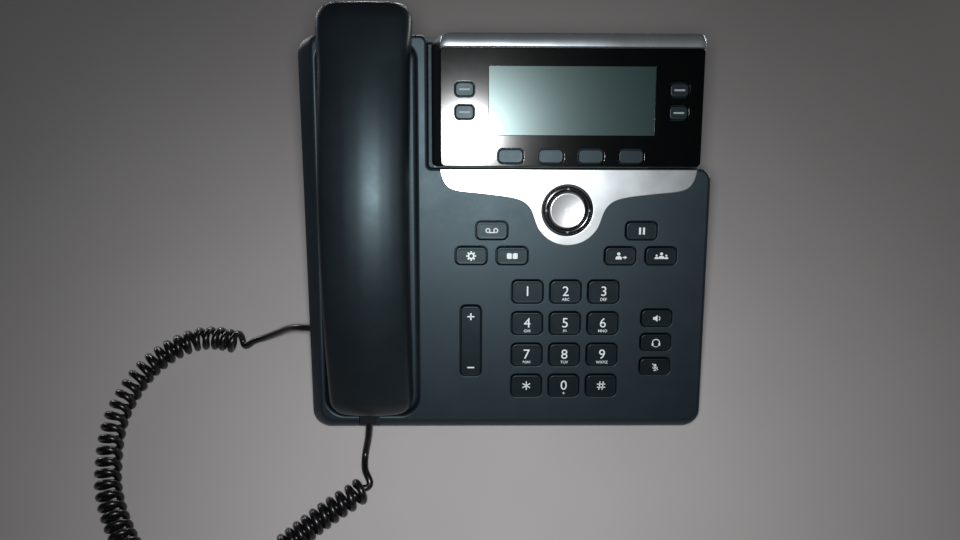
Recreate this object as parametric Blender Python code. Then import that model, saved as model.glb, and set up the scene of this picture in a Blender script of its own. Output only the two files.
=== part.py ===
"""Desk IP phone with a cradle handset and a curly cord.

Everything on the face is laid out in the face frame: u runs to the right,
v up the face from its lower edge, w out of the face (all in millimetres).
The face frame hangs from one empty that leans it back on the footstand.
"""
import bpy
import bmesh
import math
from mathutils import Matrix, Vector

MM = 0.001

# ---------------------------------------------------------------- dimensions
TILT = 44.3            # face angle from the table, degrees
FACE_Y = -78.95        # world y of the face frame origin
FACE_Z = 12.5          # world z of the face frame origin

BODY_W = 206.0         # overall width
BODY_H = 203.0         # overall height along the face
PANEL_TOP = 138.2      # top of the keypad panel
REAR_W = -22.0         # back of the rear housing
PART_W = -9.0          # parting line between the two housings
GAP = 0.3              # clearance between touching pieces

POD_L, POD_R = -38.7, 97.4      # display housing at its foot
LENS_L, LENS_R = -34.0, 94.0    # display front
LENS_B, LENS_T = 139.2, 195.9
POD_FRONT = 8.0                 # front rim of the display housing
LCD_U, LCD_V = 30.0, 170.9      # centre of the screen window
LCD_W, LCD_H = 81.0, 33.0

NAV_U, NAV_V = 30.0, 117.0
NAV_R = 12.2
SELECT_R = 9.0

HS_U = -70.0           # handset centre line
HS_HW = 22.5           # handset half width
HS_BOT, HS_TOP = 12.0, 216.5
HS_PEAK_V, HS_PEAK_W, HS_R = 121.0, 36.0, 330.0
CROWN_V, CROWN_R = 112.0, 270.0    # top and radius of the handset's crown line
FLARE = 2.5             # the left side widens by this much towards the top
TROUGH_L, TROUGH_R = -95.2, -46.4
TROUGH_FLOOR = -7.2
HOOK_V = 172.0          # hook plunger, below the ear cup

COL_U = (10.3, 30.0, 49.7)
ROW_V = (74.8, 58.1, 41.3, 24.5)

LEAD_R = 1.8           # cord wire radius
COIL_R = 7.1           # outer radius of the curly part

# ------------------------------------------------------------------ clean up
for ob in list(bpy.data.objects):
    bpy.data.objects.remove(ob, do_unlink=True)

ct, st = math.cos(math.radians(TILT)), math.sin(math.radians(TILT))


def world(u, v, w):
    """Face frame millimetres to world millimetres."""
    return Vector((u, FACE_Y + v * ct - w * st, FACE_Z + v * st + w * ct))


face = bpy.data.objects.new("face_frame", None)
bpy.context.scene.collection.objects.link(face)
face.location = (0.0, FACE_Y * MM, FACE_Z * MM)
face.rotation_euler = (math.radians(TILT), 0.0, 0.0)


# ----------------------------------------------------------------- materials
def material(name, rgb, rough, metal=0.0):
    m = bpy.data.materials.new(name)
    m.use_nodes = True
    b = m.node_tree.nodes["Principled BSDF"]
    b.inputs["Base Color"].default_value = (*rgb, 1.0)
    b.inputs["Roughness"].default_value = rough
    b.inputs["Metallic"].default_value = metal
    return m


MAT = {
    "slate": ((0.030, 0.042, 0.055), 0.48, 0.0),
    "dark": ((0.012, 0.014, 0.018), 0.5, 0.0),
    "silver": ((0.62, 0.64, 0.66), 0.32, 0.85),
    "gloss": ((0.008, 0.009, 0.010), 0.08, 0.0),
    "lcd": ((0.20, 0.28, 0.27), 0.25, 0.0),
    "key": ((0.022, 0.028, 0.036), 0.42, 0.0),
    "board": ((0.02, 0.12, 0.05), 0.5, 0.0),
    "rubber": ((0.015, 0.015, 0.015), 0.85, 0.0),
    "mat": ((0.10, 0.10, 0.11), 0.75, 0.0),
    "lamp": ((0.35, 0.33, 0.32), 0.3, 0.0),
    "clear": ((0.35, 0.36, 0.37), 0.15, 0.0),
    "cone": ((0.05, 0.05, 0.05), 0.7, 0.0),
    "cord": ((0.010, 0.010, 0.011), 0.4, 0.0),
}


# ------------------------------------------------------------------- helpers
def finish(name, bm, mat, parent=face, origin=(0.0, 0.0, 0.0), smooth=True):
    """Turn a bmesh in millimetres into a named object."""
    bmesh.ops.recalc_face_normals(bm, faces=bm.faces)
    bmesh.ops.translate(bm, verts=bm.verts, vec=[-c for c in origin])
    bmesh.ops.scale(bm, verts=bm.verts, vec=(MM, MM, MM))
    me = bpy.data.meshes.new(name)
    bm.to_mesh(me)
    bm.free()
    ob = bpy.data.objects.new(name, me)
    bpy.context.scene.collection.objects.link(ob)
    if parent is not None:
        ob.parent = parent
    ob.location = [c * MM for c in origin]
    if mat:
        me.materials.append(material(name + "_mat", *MAT[mat]))
    if smooth:
        me.shade_smooth()
        me.set_sharp_from_angle(angle=math.radians(32))
    return ob


def rounded(points, seg=3):
    """Closed outline with rounded corners; points are (x, y, radius).

    The points run anticlockwise; a concave corner is rounded as well.
    """
    out = []
    n = len(points)
    for i in range(n):
        p = Vector(points[i][:2])
        a = Vector(points[i - 1][:2])
        b = Vector(points[(i + 1) % n][:2])
        r = points[i][2]
        d1, d2 = (a - p).normalized(), (b - p).normalized()
        half = math.acos(max(-1, min(1, d1.dot(d2)))) / 2
        if r <= 0:
            out.extend([tuple(p)] * 1)
            continue
        t = r / math.tan(half)
        c = p + (d1 + d2).normalized() * (r / math.sin(half))
        s, e = p + d1 * t, p + d2 * t
        a0 = math.atan2(s.y - c.y, s.x - c.x)
        a1 = math.atan2(e.y - c.y, e.x - c.x)
        da = (a1 - a0 + math.pi) % (2 * math.pi) - math.pi
        for k in range(seg + 1):
            an = a0 + da * k / seg
            out.append((c.x + r * math.cos(an), c.y + r * math.sin(an)))
    return out


def inset_poly(points, d):
    """Move every edge of a corner list inwards by d, keeping its corners."""
    out = []
    n = len(points)
    for i in range(n):
        p = Vector(points[i][:2])
        a = Vector(points[i - 1][:2])
        b = Vector(points[(i + 1) % n][:2])
        e1, e2 = (p - a).normalized(), (b - p).normalized()
        n1, n2 = Vector((-e1.y, e1.x)), Vector((-e2.y, e2.x))
        k = d / (1 + n1.dot(n2))
        q = p + (n1 + n2) * k
        convex = e1.x * e2.y - e1.y * e2.x > 0
        r = points[i][2]
        if r > 0:
            r = max(r - d, 0.3) if convex else r + d
        out.append((q.x, q.y, r))
    return out


def box_pts(cu, cv, w, h, r):
    return [(cu - w / 2, cv - h / 2, r), (cu + w / 2, cv - h / 2, r),
            (cu + w / 2, cv + h / 2, r), (cu - w / 2, cv + h / 2, r)]


def stack(layers):
    """Closed bmesh through outlines of equal length: [(outline, w), ...]."""
    bm = bmesh.new()
    rings = [[bm.verts.new((x, y, z)) for x, y in pts] for pts, z in layers]
    bm.faces.new(list(reversed(rings[0])))
    bm.faces.new(rings[-1])
    for lo, hi in zip(rings, rings[1:]):
        n = len(lo)
        for i in range(n):
            j = (i + 1) % n
            bm.faces.new((lo[i], lo[j], hi[j], hi[i]))
    return bm


def slab(points, w0, w1, seg=3):
    p = rounded(points, seg)
    return stack([(p, w0), (p, w1)])


def plain_box(u0, u1, v0, v1, w0, w1, r=0.0, seg=2):
    return slab([(u0, v0, r), (u1, v0, r), (u1, v1, r), (u0, v1, r)], w0, w1, seg)


def circle(cu, cv, r, n):
    return [(cu + r * math.cos(2 * math.pi * i / n),
             cv + r * math.sin(2 * math.pi * i / n)) for i in range(n)]


def merge(*bms):
    """Several closed shapes in one bmesh, used only as a cutter."""
    out = bmesh.new()
    for b in bms:
        me = bpy.data.meshes.new("tmp")
        b.to_mesh(me)
        b.free()
        out.from_mesh(me)
        bpy.data.meshes.remove(me)
    return out


def hide(ob):
    ob.hide_render = True
    ob.display_type = 'WIRE'
    return ob


def boolean(ob, bm, op, parent=face):
    c = hide(finish(ob.name + "_" + op.lower() + str(len(ob.modifiers)), bm, None, parent))
    m = ob.modifiers.new(op.lower(), 'BOOLEAN')
    m.operation = op
    m.object = c
    m.solver = 'EXACT'
    return c


def ring_mesh(cu, cv, r_in, r_out, prof, n):
    """Annulus turned about its own centre; prof is [(radius, w), ...]."""
    bm = bmesh.new()
    rings = [[bm.verts.new((cu + r * math.cos(2 * math.pi * i / n),
                            cv + r * math.sin(2 * math.pi * i / n), w))
              for i in range(n)] for r, w in prof]
    m = len(rings)
    for k in range(m):
        a, b = rings[k], rings[(k + 1) % m]
        for i in range(n):
            j = (i + 1) % n
            bm.faces.new((a[i], a[j], b[j], b[i]))
    return bm


def turned(cu, cv, prof, n):
    """Solid of revolution about w through (cu, cv)."""
    return stack([(circle(cu, cv, r, n), w) for r, w in prof])


# ------------------------------------------------------------ key positions
# name: (u, v, width, height, corner)
KEYS = {}
for i, row in enumerate((("key_1", "key_2", "key_3"), ("key_4", "key_5", "key_6"),
                         ("key_7", "key_8", "key_9"), ("key_star", "key_0", "key_hash"))):
    for j, nm in enumerate(row):
        KEYS[nm] = (COL_U[j], ROW_V[i], 15.8, 11.8, 2.6)
for nm, off, v in (("messages_key", -38.3, 106.6), ("hold_key", 38.3, 106.6),
                   ("settings_key", -48.8, 93.6), ("contacts_key", -27.8, 93.6),
                   ("transfer_key", 27.8, 93.6), ("conference_key", 48.8, 93.6)):
    KEYS[nm] = (NAV_U + off, v, 15.8, 9.0, 2.4)
for nm, v in (("speaker_key", 61.0), ("headset_key", 48.0), ("mute_key", 35.0)):
    KEYS[nm] = (77.8, v, 15.8, 8.8, 2.4)
POD_KEYS = {}
for i in range(4):
    POD_KEYS["soft_key_%d" % (i + 1)] = (0.45 + 19.7 * i, 144.3, 12.2, 6.8, 2.2)
for nm, u, v in (("line_key_1", -22.2, 176.2), ("line_key_2", -22.2, 165.4),
                 ("line_key_3", 82.0, 176.2), ("line_key_4", 82.0, 165.4)):
    POD_KEYS[nm] = (u, v, 9.0, 6.6, 2.0)
ROCKER = (-18.9, 48.7, 10.5, 37.5, 2.6)
HOLE = 0.4             # clearance round a key


def key_mesh(u, v, w, h, r, top, bottom, flange_top, flange_bottom, rim):
    """A key cap with its retaining flange below the panel."""
    def ol(dw, rr):
        return rounded(box_pts(u, v, w + dw, h + dw, rr), 2)
    return stack([(ol(rim, r), flange_bottom), (ol(rim, r), flange_top),
                  (ol(0, r), flange_top + 0.01), (ol(0, r), top - 0.5),
                  (ol(-0.9, max(r - 0.45, 0.3)), top)])


for nm, (u, v, w, h, r) in KEYS.items():
    finish(nm, key_mesh(u, v, w, h, r, 1.4, 0, -3.0, -4.2, 1.4), "key", origin=(u, v, 0))
for nm, (u, v, w, h, r) in POD_KEYS.items():
    finish(nm, key_mesh(u, v, w, h, r, 10.9, 0, 7.8, 6.9, 0.7), "key", origin=(u, v, 8.0))

# volume rocker, tilting about the u axis through its middle
ru, rv, rw, rh, rr = ROCKER


def rocker_layer(dw, w):
    return (rounded(box_pts(ru, rv, rw + dw, rh + dw, rr), 3), w)


finish("volume_rocker", stack([rocker_layer(1.4, -4.7), rocker_layer(1.4, -3.9),
                               rocker_layer(0, -3.89), rocker_layer(0, 1.1),
                               rocker_layer(-0.9, 1.6)]), "key", origin=(ru, rv, -3.0))

# navigation ring on its two-way pivot, and the select button in its middle
N = 32
finish("nav_ring", ring_mesh(NAV_U, NAV_V, 0, 0,
       [(9.5, -2.0), (12.2, -2.0), (12.2, 2.3), (11.6, 2.9), (10.1, 2.9), (9.5, 2.3)], N),
       "gloss", origin=(NAV_U, NAV_V, -1.0))
finish("nav_pivot", ring_mesh(NAV_U, NAV_V, 0, 0,
       [(5.0, -4.3), (11.2, -4.3), (11.2, -3.3), (5.0, -3.3)], 24),
       "dark", origin=(NAV_U, NAV_V, -1.0))
finish("select_button", turned(NAV_U, NAV_V, [(8.0, -2.0), (SELECT_R, -1.9), (SELECT_R, 1.7),
       (8.5, 2.3), (4.0, 2.5)], N), "silver", origin=(NAV_U, NAV_V, 0))

# ------------------------------------------------------------- front housing
hw = BODY_W / 2
CRADLE_R = -40.6
front_pts = [(-hw, 0, 9), (hw, 0, 9), (hw, PANEL_TOP, 6), (CRADLE_R, PANEL_TOP, 1.5),
             (CRADLE_R, BODY_H, 4), (-hw - FLARE, BODY_H, 9)]


def front_ol(d):
    return rounded(inset_poly(front_pts, d), 4)


front = finish("front_housing", stack([(front_ol(0), PART_W), (front_ol(0), -2.2),
                                       (front_ol(0.35), -0.9), (front_ol(1.0), -0.3),
                                       (front_ol(2.0), 0.0)]), "slate")
# the left flank rolls off towards the edge
flank = bmesh.new()
ends = []
for v, out in ((-6.0, 0.0), (210.0, FLARE)):
    prof = [(-97.2, 0.0), (-98.3, -0.5), (-103.4 - out, -6.4), (-112.0, -6.4), (-112.0, 2.0), (-97.2, 2.0)]
    ends.append([flank.verts.new((u, v, w)) for u, w in prof])
flank.faces.new(ends[0])
flank.faces.new(list(reversed(ends[1])))
for i in range(6):
    j = (i + 1) % 6
    flank.faces.new((ends[0][i], ends[0][j], ends[1][j], ends[1][i]))
bmesh.ops.triangulate(flank, faces=flank.faces)
bmesh.ops.recalc_face_normals(flank, faces=flank.faces)
boolean(front, flank, 'DIFFERENCE')
# tub that carries the handset trough
boolean(front, plain_box(-99.0, -43.6, 8.6, 200.1, -10.0, -4.0, 5.0), 'UNION')
cuts = [plain_box(CRADLE_R + 0.4, hw - 2.5, 2.5, PANEL_TOP - 2.5, PART_W - 1.5, -2.5, 5.0),
        slab([(TROUGH_L, 8, 10), (TROUGH_R, 8, 10), (TROUGH_R, 199, 8), (TROUGH_L, 199, 8)],
             TROUGH_FLOOR, 3.0, 4)]
boolean(front, merge(*cuts), 'DIFFERENCE')
# notch for the cord below the handset
boolean(front, plain_box(-78.0, -67.0, -3.0, 12.0, -4.5, 4.0, 1.5), 'DIFFERENCE')
holes = []
for (u, v, w, h, r) in list(KEYS.values()) + [ROCKER]:
    holes.append(slab(box_pts(u, v, w + 2 * HOLE, h + 2 * HOLE, r + HOLE), -4.0, 3.0, 2))
holes.append(stack([(circle(NAV_U, NAV_V, NAV_R + 0.7, 32), -4.0),
                    (circle(NAV_U, NAV_V, NAV_R + 0.7, 32), 3.0)]))
boolean(front, merge(*holes), 'DIFFERENCE')
# opening for the hook plunger in the trough floor
boolean(front, plain_box(HS_U - 4.0, HS_U + 4.0, HOOK_V - 5.0, HOOK_V + 5.0, -12.0, 0.0, 1.5), 'DIFFERENCE')

# -------------------------------------------------------------- rear housing
rear_pts = [(-hw, 0, 9), (hw, 0, 9), (hw, PANEL_TOP, 5), (POD_R, PANEL_TOP + 0.1, 1.0),
            (POD_R, BODY_H, 5), (-hw - FLARE, BODY_H, 9)]


def rear_ol(d):
    return rounded(inset_poly(rear_pts, d), 4)


rear = finish("rear_housing", stack([(rear_ol(3.0), REAR_W), (rear_ol(1.0), REAR_W + 0.9),
                                     (rear_ol(0.0), REAR_W + 3.2),
                                     (rear_ol(0), PART_W - GAP)]), "slate")
boolean(rear, slab([(-hw + 2.5, 8, 6), (hw - 2.5, 8, 6), (hw - 2.5, PANEL_TOP - 2.4, 4),
                    (POD_R - 2.5, PANEL_TOP - 2.3, 2), (POD_R - 2.5, BODY_H - 2.5, 4),
                    (-hw + 2.5, BODY_H - 2.5, 6)], -19.8, 0.0, 3), 'DIFFERENCE')
# flat along the lower back edge, level with the table
flat = bmesh.new()
bmesh.ops.create_cube(flat, size=1.0)
bmesh.ops.scale(flat, verts=flat.verts, vec=(BODY_W + 20, 60, 20))
bmesh.ops.translate(flat, verts=flat.verts, vec=(0, FACE_Y + 10, 1.5 - 10))
boolean(rear, flat, 'DIFFERENCE', None)
SOCK_V, SOCK_W = 52.0, -15.0
PORT_V = (158.0, 178.0)
PORT_W = -14.8
side = [plain_box(-hw - 3, -hw + 4, SOCK_V - 5.0, SOCK_V + 5.0, SOCK_W - 4.0, SOCK_W + 4.0)]
side += [plain_box(POD_R - 5, POD_R + 3, v - 7.0, v + 7.0, PORT_W - 4.4, PORT_W + 4.4) for v in PORT_V]
# sound slots behind the loudspeaker
side += [plain_box(20 - 14 + abs(i) * 2.0, 20 + 14 - abs(i) * 2.0, 62 + i * 5.0 - 1.1,
                   62 + i * 5.0 + 1.1, REAR_W - 2, -19.0, 1.0) for i in range(-3, 4)]
# slots that take the tabs of the footstand
side += [plain_box(u - 6.5, u + 6.5, 118.5, 123.5, REAR_W - 2, -19.0) for u in (-40.0, 40.0)]
boolean(rear, merge(*side), 'DIFFERENCE')

# ----------------------------------------------------------- display housing
pod_pts = [(POD_L, PANEL_TOP + 0.5, 3), (POD_R, PANEL_TOP + 0.5, 3),
           (POD_R, BODY_H, 6), (POD_L, BODY_H, 6)]
pod_front = [(LENS_L - 0.3, PANEL_TOP + 0.8, 2.5), (LENS_R + 0.3, PANEL_TOP + 0.8, 2.5),
             (LENS_R + 0.3, BODY_H - 0.4, 5), (LENS_L - 0.3, BODY_H - 0.4, 5)]
pod = finish("display_housing", stack([(rounded(pod_pts, 4), PART_W),
                                       (rounded(pod_pts, 4), -2.0),
                                       (rounded(pod_front, 4), POD_FRONT - 1.0),
                                       (rounded(inset_poly(pod_front, 0.4), 4), POD_FRONT)]), "dark")
boolean(pod, plain_box(LENS_L + 2.6, LENS_R - 2.6, LENS_B + 1.0, LENS_T - 1.0, PART_W - 2, 12, 3.0), 'DIFFERENCE')

# silver strip along the top of the display
TRIM_B = LENS_T + 0.4
trim_prof = [(TRIM_B, 8.3), (202.0, 8.3), (202.9, 8.8), (203.2, 9.6), (202.6, 10.4),
             (200.4, 10.9), (TRIM_B + 1.0, 10.9), (TRIM_B, 10.4)]
bm = bmesh.new()
ends = []
for u, k in ((LENS_L, 0.72), (LENS_L + 1.0, 0.92), (LENS_L + 3.0, 1.0), (LENS_R - 3.0, 1.0),
             (LENS_R - 1.0, 0.92), (LENS_R, 0.72)):
    ends.append([bm.verts.new((u, TRIM_B + (v - TRIM_B) * k, w)) for v, w in trim_prof])
bm.faces.new(ends[0])
bm.faces.new(list(reversed(ends[-1])))
for a, b in zip(ends, ends[1:]):
    for i in range(len(a)):
        j = (i + 1) % len(a)
        bm.faces.new((a[i], a[j], b[j], b[i]))
finish("display_trim", bm, "silver")

# glossy front with its key openings
lens_pts = [(LENS_L, LENS_B, 2.5), (LENS_R, LENS_B, 2.5), (LENS_R, LENS_T, 1.5), (LENS_L, LENS_T, 1.5)]
lens = finish("display_lens", stack([(rounded(lens_pts, 3), POD_FRONT + GAP),
                                     (rounded(lens_pts, 3), 9.7),
                                     (rounded(inset_poly(lens_pts, 0.5), 3), 10.2)]), "gloss")
boolean(lens, merge(*[slab(box_pts(u, v, w + 2 * HOLE, h + 2 * HOLE, r + HOLE), 6, 12, 2)
                      for (u, v, w, h, r) in POD_KEYS.values()]), 'DIFFERENCE')

# screen module: circuit plate with the glass raised under the window
lcd = finish("lcd_panel", plain_box(LENS_L + 4, LENS_R - 4, LENS_B + 4, LENS_T - 4, 3.6, 5.0, 2.0), "lcd")
boolean(lcd, plain_box(LCD_U - LCD_W / 2 - 2, LCD_U + LCD_W / 2 + 2, LCD_V - LCD_H / 2 - 2,
                       LCD_V + LCD_H / 2 + 2, 4.5, 7.8, 0.8), 'UNION')

# -------------------------------------------------------- silver nav surround
NAV_EDGE = ((0, 99.0), (6, 100.0), (10, 102.0), (13, 104.6), (15.2, 107.4), (16.4, 110.0),
            (17.5, 113.2), (19.0, 117.0), (21.2, 119.8), (24.1, 121.7), (29.2, 123.2),
            (44.4, 125.2), (57.0, 126.7), (61.0, 128.4), (63.4, 131.5), (64.6, 135.0),
            (65.0, 137.7))
BEZ_C = 30.4


def bezel_outline(d):
    """Surround outline, pulled in by d along its lower edge."""
    right = [(BEZ_C + x - (d if x > 60 else 0), v + d) for x, v in NAV_EDGE[1:-1]]
    right.append((BEZ_C + NAV_EDGE[-1][0] - d, NAV_EDGE[-1][1] - d))
    left = [(BEZ_C * 2 - x, v) for x, v in reversed(right)]
    return [(BEZ_C, NAV_EDGE[0][1] + d)] + right + left


bez = finish("nav_bezel", stack([(bezel_outline(0.0), GAP), (bezel_outline(0.0), 0.9),
                                 (bezel_outline(0.35), 1.3)]), "silver")
boolean(bez, stack([(circle(NAV_U, NAV_V, NAV_R + 0.7, 32), -3), (circle(NAV_U, NAV_V, NAV_R + 0.7, 32), 6)]),
        'DIFFERENCE')

# ----------------------------------------------------------------- internals
finish("main_board", plain_box(-38.0, 73.0, 12.0, 196.0, -11.2, -9.7, 2.0), "board")
finish("keypad_mat", plain_box(-27.0, 89.0, 14.0, 130.0, -9.3, -5.9, 3.0), "mat")
finish("loudspeaker", turned(20, 62, [(8, -19.4), (21, -19.4), (21, -16.4), (11, -15.8), (11, -12.2)], 24), "cone")

# hook plunger, held down by the handset's ear cup
def hook_layer(w, h, r, z):
    return (rounded(box_pts(HS_U, HOOK_V, w, h, r), 2), z)


finish("hook_plunger", stack([hook_layer(9.6, 11.6, 1.5, -14.9), hook_layer(9.6, 11.6, 1.5, -13.9),
                              hook_layer(7.0, 9.0, 1.5, -13.89), hook_layer(7.0, 9.0, 1.5, -8.0),
                              hook_layer(5.4, 7.4, 1.2, -7.2)]),
       "dark", origin=(HS_U, HOOK_V, -9))
finish("handset_clip", stack([(rounded(box_pts(-70, 197.0, 9.0, 3.2, 0.8), 2), TROUGH_FLOOR + GAP),
                              (rounded(box_pts(-70, 197.0, 9.0, 3.2, 0.8), 2), -2.4),
                              (rounded(box_pts(-70, 197.3, 8.0, 2.2, 0.6), 2), -1.4)]), "dark")

# socket for the handset cord, in the left side
sock = finish("handset_socket", plain_box(-100.1, -86.0, SOCK_V - 6.5, SOCK_V + 6.5, -19.4, -10.4), "clear", smooth=False)
boolean(sock, plain_box(-104, -88.5, SOCK_V - 4.1, SOCK_V + 4.1, SOCK_W - 3.4, SOCK_W + 3.4), 'DIFFERENCE')

# two network sockets in the right side, behind the display
ports = finish("port_block", plain_box(75.0, POD_R - 2.9, 148.0, 188.0, -19.5, -10.0), "clear", smooth=False)
boolean(ports, merge(*[plain_box(79.0, POD_R + 3, v - 5.9, v + 5.9, PORT_W - 3.7, PORT_W + 3.7)
                       for v in PORT_V]), 'DIFFERENCE')

# ----------------------------------------------------------------- footstand
# a ribbed plate that clips on behind the face and stands on the table
FOOT_Y = 62.7
a = world(0, 88, REAR_W - GAP)
b = world(0, 140, REAR_W - GAP)
prof = [(a.y, a.z), (b.y, b.z)]
nrm = Vector((0, st, -ct))
prof += [(b.y + nrm.y * 3.0, b.z + nrm.z * 3.0)]
k = world(0, 112, REAR_W - 3.3)
prof += [(k.y + 2.5, k.z), (FOOT_Y + 4.0, 1.5), (FOOT_Y - 2.5, 1.5)]
k2 = world(0, 104, REAR_W - 3.3)
prof += [(k2.y - 1.0, k2.z - 1.0), (a.y + nrm.y * 3.0, a.z + nrm.z * 3.0)]
bm = bmesh.new()
STAND_W = 62.0


def stand_half_width(z):
    return STAND_W - 10.0 * max(0.0, min(1.0, z / 90.0))


l = [bm.verts.new((-stand_half_width(z), y, z)) for y, z in prof]
r = [bm.verts.new((stand_half_width(z), y, z)) for y, z in prof]
bm.faces.new(l)
bm.faces.new(list(reversed(r)))
for i in range(len(l)):
    j = (i + 1) % len(l)
    bm.faces.new((l[i], l[j], r[j], r[i]))
stand = finish("footstand", bm, "slate", parent=None)
boolean(stand, merge(*[plain_box(u - 5.8, u + 5.8, 119.2, 122.8, REAR_W - 2.0, -20.4) for u in (-40.0, 40.0)]), 'UNION')

# rubber strips
strip = plain_box(-58, 58, FOOT_Y - 2.2, FOOT_Y + 3.6, 0.0, 1.2, 1.5)
finish("stand_foot", strip, "rubber", parent=None)
fy = world(0, 3.2, -18.2).y
finish("front_foot", plain_box(-80, 80, fy - 3.2, fy + 3.2, 0.0, 1.2, 1.5), "rubber", parent=None)

# ------------------------------------------------------------------- handset
# stations along the handset: v, half width, fall of the crown at the ends
HS_ST = ((HS_BOT, 13.2, 5.0), (HS_BOT + 1.8, 17.3, 2.4), (HS_BOT + 4.6, 19.8, 0.9),
         (HS_BOT + 9, 21.0, 0.0), (34, 21.0, 0), (46, 21.0, 0), (58, 21.1, 0), (72, 21.2, 0),
         (88, 21.4, 0), (104, 21.5, 0), (121, 21.5, 0), (138, 21.5, 0), (152, 21.5, 0),
         (164, 21.5, 0), (176, 21.5, 0), (188, 21.7, 0), (194, 22.0, 0), (199, 22.5, 0),
         (HS_TOP - 9, 22.9, 0.0), (HS_TOP - 4.6, 21.7, 0.5), (HS_TOP - 1.8, 19.1, 1.3),
         (HS_TOP, 15.0, 2.4))


def crown(v, fall):
    """Crown line of the handset, one long arc."""
    return HS_PEAK_W - (v - CROWN_V) ** 2 / (2 * CROWN_R) - fall


def parting(v):
    """Seam between the two handset shells, dropping towards the ear end."""
    t = max(0.0, min(1.0, (v - 185.0) / 25.0))
    return HS_PEAK_W - (v - HS_PEAK_V) ** 2 / (2 * HS_R) - 12.0 - 3.5 * t * t * (3 - 2 * t)


def under(v):
    """Inner surface: two cups that sit in the trough, a raised grip between."""
    pts = ((HS_BOT, -2.0), (HS_BOT + 4.6, -4.8), (HS_BOT + 9, -6.9), (46, -6.9), (52, -5.0),
           (64, 4.0), (88, 12.0), (108, 14.0), (128, 12.4), (152, 3.6), (160, -4.0),
           (166, -6.9), (188, -6.9), (193, -5.0), (196, 0.9), (201, 1.3), (HS_TOP - 4, 2.4),
           (HS_TOP, 4.2))
    for (v0, w0), (v1, w1) in zip(pts, pts[1:]):
        if v <= v1:
            return w0 + (w1 - w0) * (v - v0) / (v1 - v0)
    return pts[-1][1]


SEC = ((1.0, -12.0), (1.0, -9.0), (0.97, -6.4), (0.89, -4.2), (0.76, -2.9), (0.53, -1.4),
       (0.27, -0.36), (0.0, 0.0))


def hs_section(v, half, fall, dx=0.0, dw=0.0, low=None):
    """Upper shell section: crown over the parting line."""
    top = crown(v, fall)
    base = parting(v) if low is None else low
    pts = []
    for s, d in SEC:
        w = top + d * (1.0 - fall / 12.0) - dw
        pts.append((half * s - dx * (1 if s > 0.3 else 0), max(w, base)))
    pts[0] = (half - dx, base)
    full = [(HS_U + x, w) for x, w in pts] + [(HS_U - x, w) for x, w in reversed(pts[:-1])]
    return full


def loft(sections):
    bm = bmesh.new()
    rings = [[bm.verts.new((u, v, w)) for u, w in sec] for v, sec in sections]
    bm.faces.new(rings[0])
    bm.faces.new(list(reversed(rings[-1])))
    for a, b in zip(rings, rings[1:]):
        n = len(a)
        for i in range(n):
            j = (i + 1) % n
            bm.faces.new((a[i], a[j], b[j], b[i]))
    return bm


outer = finish("handset_outer_shell", loft([(v, hs_section(v, h, f)) for v, h, f in HS_ST]),
               "slate", origin=(HS_U, HS_PEAK_V, 0))
inner_st = [s for s in HS_ST if HS_BOT + 4.0 < s[0] < HS_TOP - 4.0]
boolean(outer, loft([(v, hs_section(v, h, f, 2.2, 2.4, parting(v) - 6.0)) for v, h, f in inner_st]), 'DIFFERENCE')


def under_section(v, half):
    lo, hi = under(v), parting(v) - GAP
    t = hi - lo
    pts = [(half - 0.1, hi), (half - 0.25, hi - 0.35 * t), (half - 1.3, hi - 0.75 * t),
           (half - 3.6, lo + 0.06 * t), (half - 6.5, lo)]
    return [(HS_U + x, w) for x, w in pts] + [(HS_U - x, w) for x, w in reversed(pts)]


under_v = sorted(set([s[0] for s in HS_ST] + [52.0, 64.0, 128.0, 160.0, 166.0, 193.0, 196.0]))


def half_at(v):
    for (v0, h0, _), (v1, h1, _) in zip(HS_ST, HS_ST[1:]):
        if v <= v1:
            return h0 + (h1 - h0) * (v - v0) / (v1 - v0)
    return HS_ST[-1][1]


inner = finish("handset_inner_shell", loft([(v, under_section(v, half_at(v))) for v in under_v]),
               "slate", origin=(HS_U, HS_PEAK_V, 0))
JACK_U, JACK_W = -72.5, 1.6
boolean(inner, merge(
    plain_box(-86.0, -54.0, 165.5, 189.0, -4.6, 60.0, 6.0),
    plain_box(-86.0, -54.0, 26.0, 47.0, -4.6, 60.0, 6.0),
    plain_box(-84.0, -56.0, 66.0, 150.0, 16.5, 60.0, 4.0),
    plain_box(JACK_U - 4.1, JACK_U + 4.1, HS_BOT - 4, HS_BOT + 11.5, JACK_W - 3.4, JACK_W + 3.4)), 'DIFFERENCE')

finish("handset_receiver", turned(HS_U, 177.5, [(10.0, -4.2), (11.0, -3.6), (11.0, 1.5), (9.5, 2.2)], 24),
       "cone", origin=(HS_U, 177.5, 0))
finish("handset_microphone", turned(HS_U, 38, [(4.6, -4.2), (5.0, -3.8), (5.0, -0.6), (4.6, -0.2)], 20),
       "cone", origin=(HS_U, 38, 0))

# message lamp set into the top end of the handset
lamp_cut = plain_box(HS_U - 14.6, HS_U + 14.6, HS_TOP - 4.4, HS_TOP + 3.0, 9.2, 12.9, 0.6)
boolean(outer, lamp_cut, 'DIFFERENCE')
lamp_v = HS_TOP - 4.1
finish("handset_lamp", plain_box(HS_U - 14.2, HS_U + 14.2, lamp_v, HS_TOP - 0.2, 9.5, 12.6, 0.6),
       "lamp", origin=(HS_U, lamp_v, 11.0))

# --------------------------------------------------------------------- cord
finish("base_plug", plain_box(-104.8, -89.0, SOCK_V - 3.8, SOCK_V + 3.8, SOCK_W - 3.1, SOCK_W + 3.1), "clear", smooth=False)
finish("handset_plug", plain_box(JACK_U - 3.8, JACK_U + 3.8, 5.5, HS_BOT + 11.0, JACK_W - 3.1, JACK_W + 3.1), "clear", smooth=False)

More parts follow.
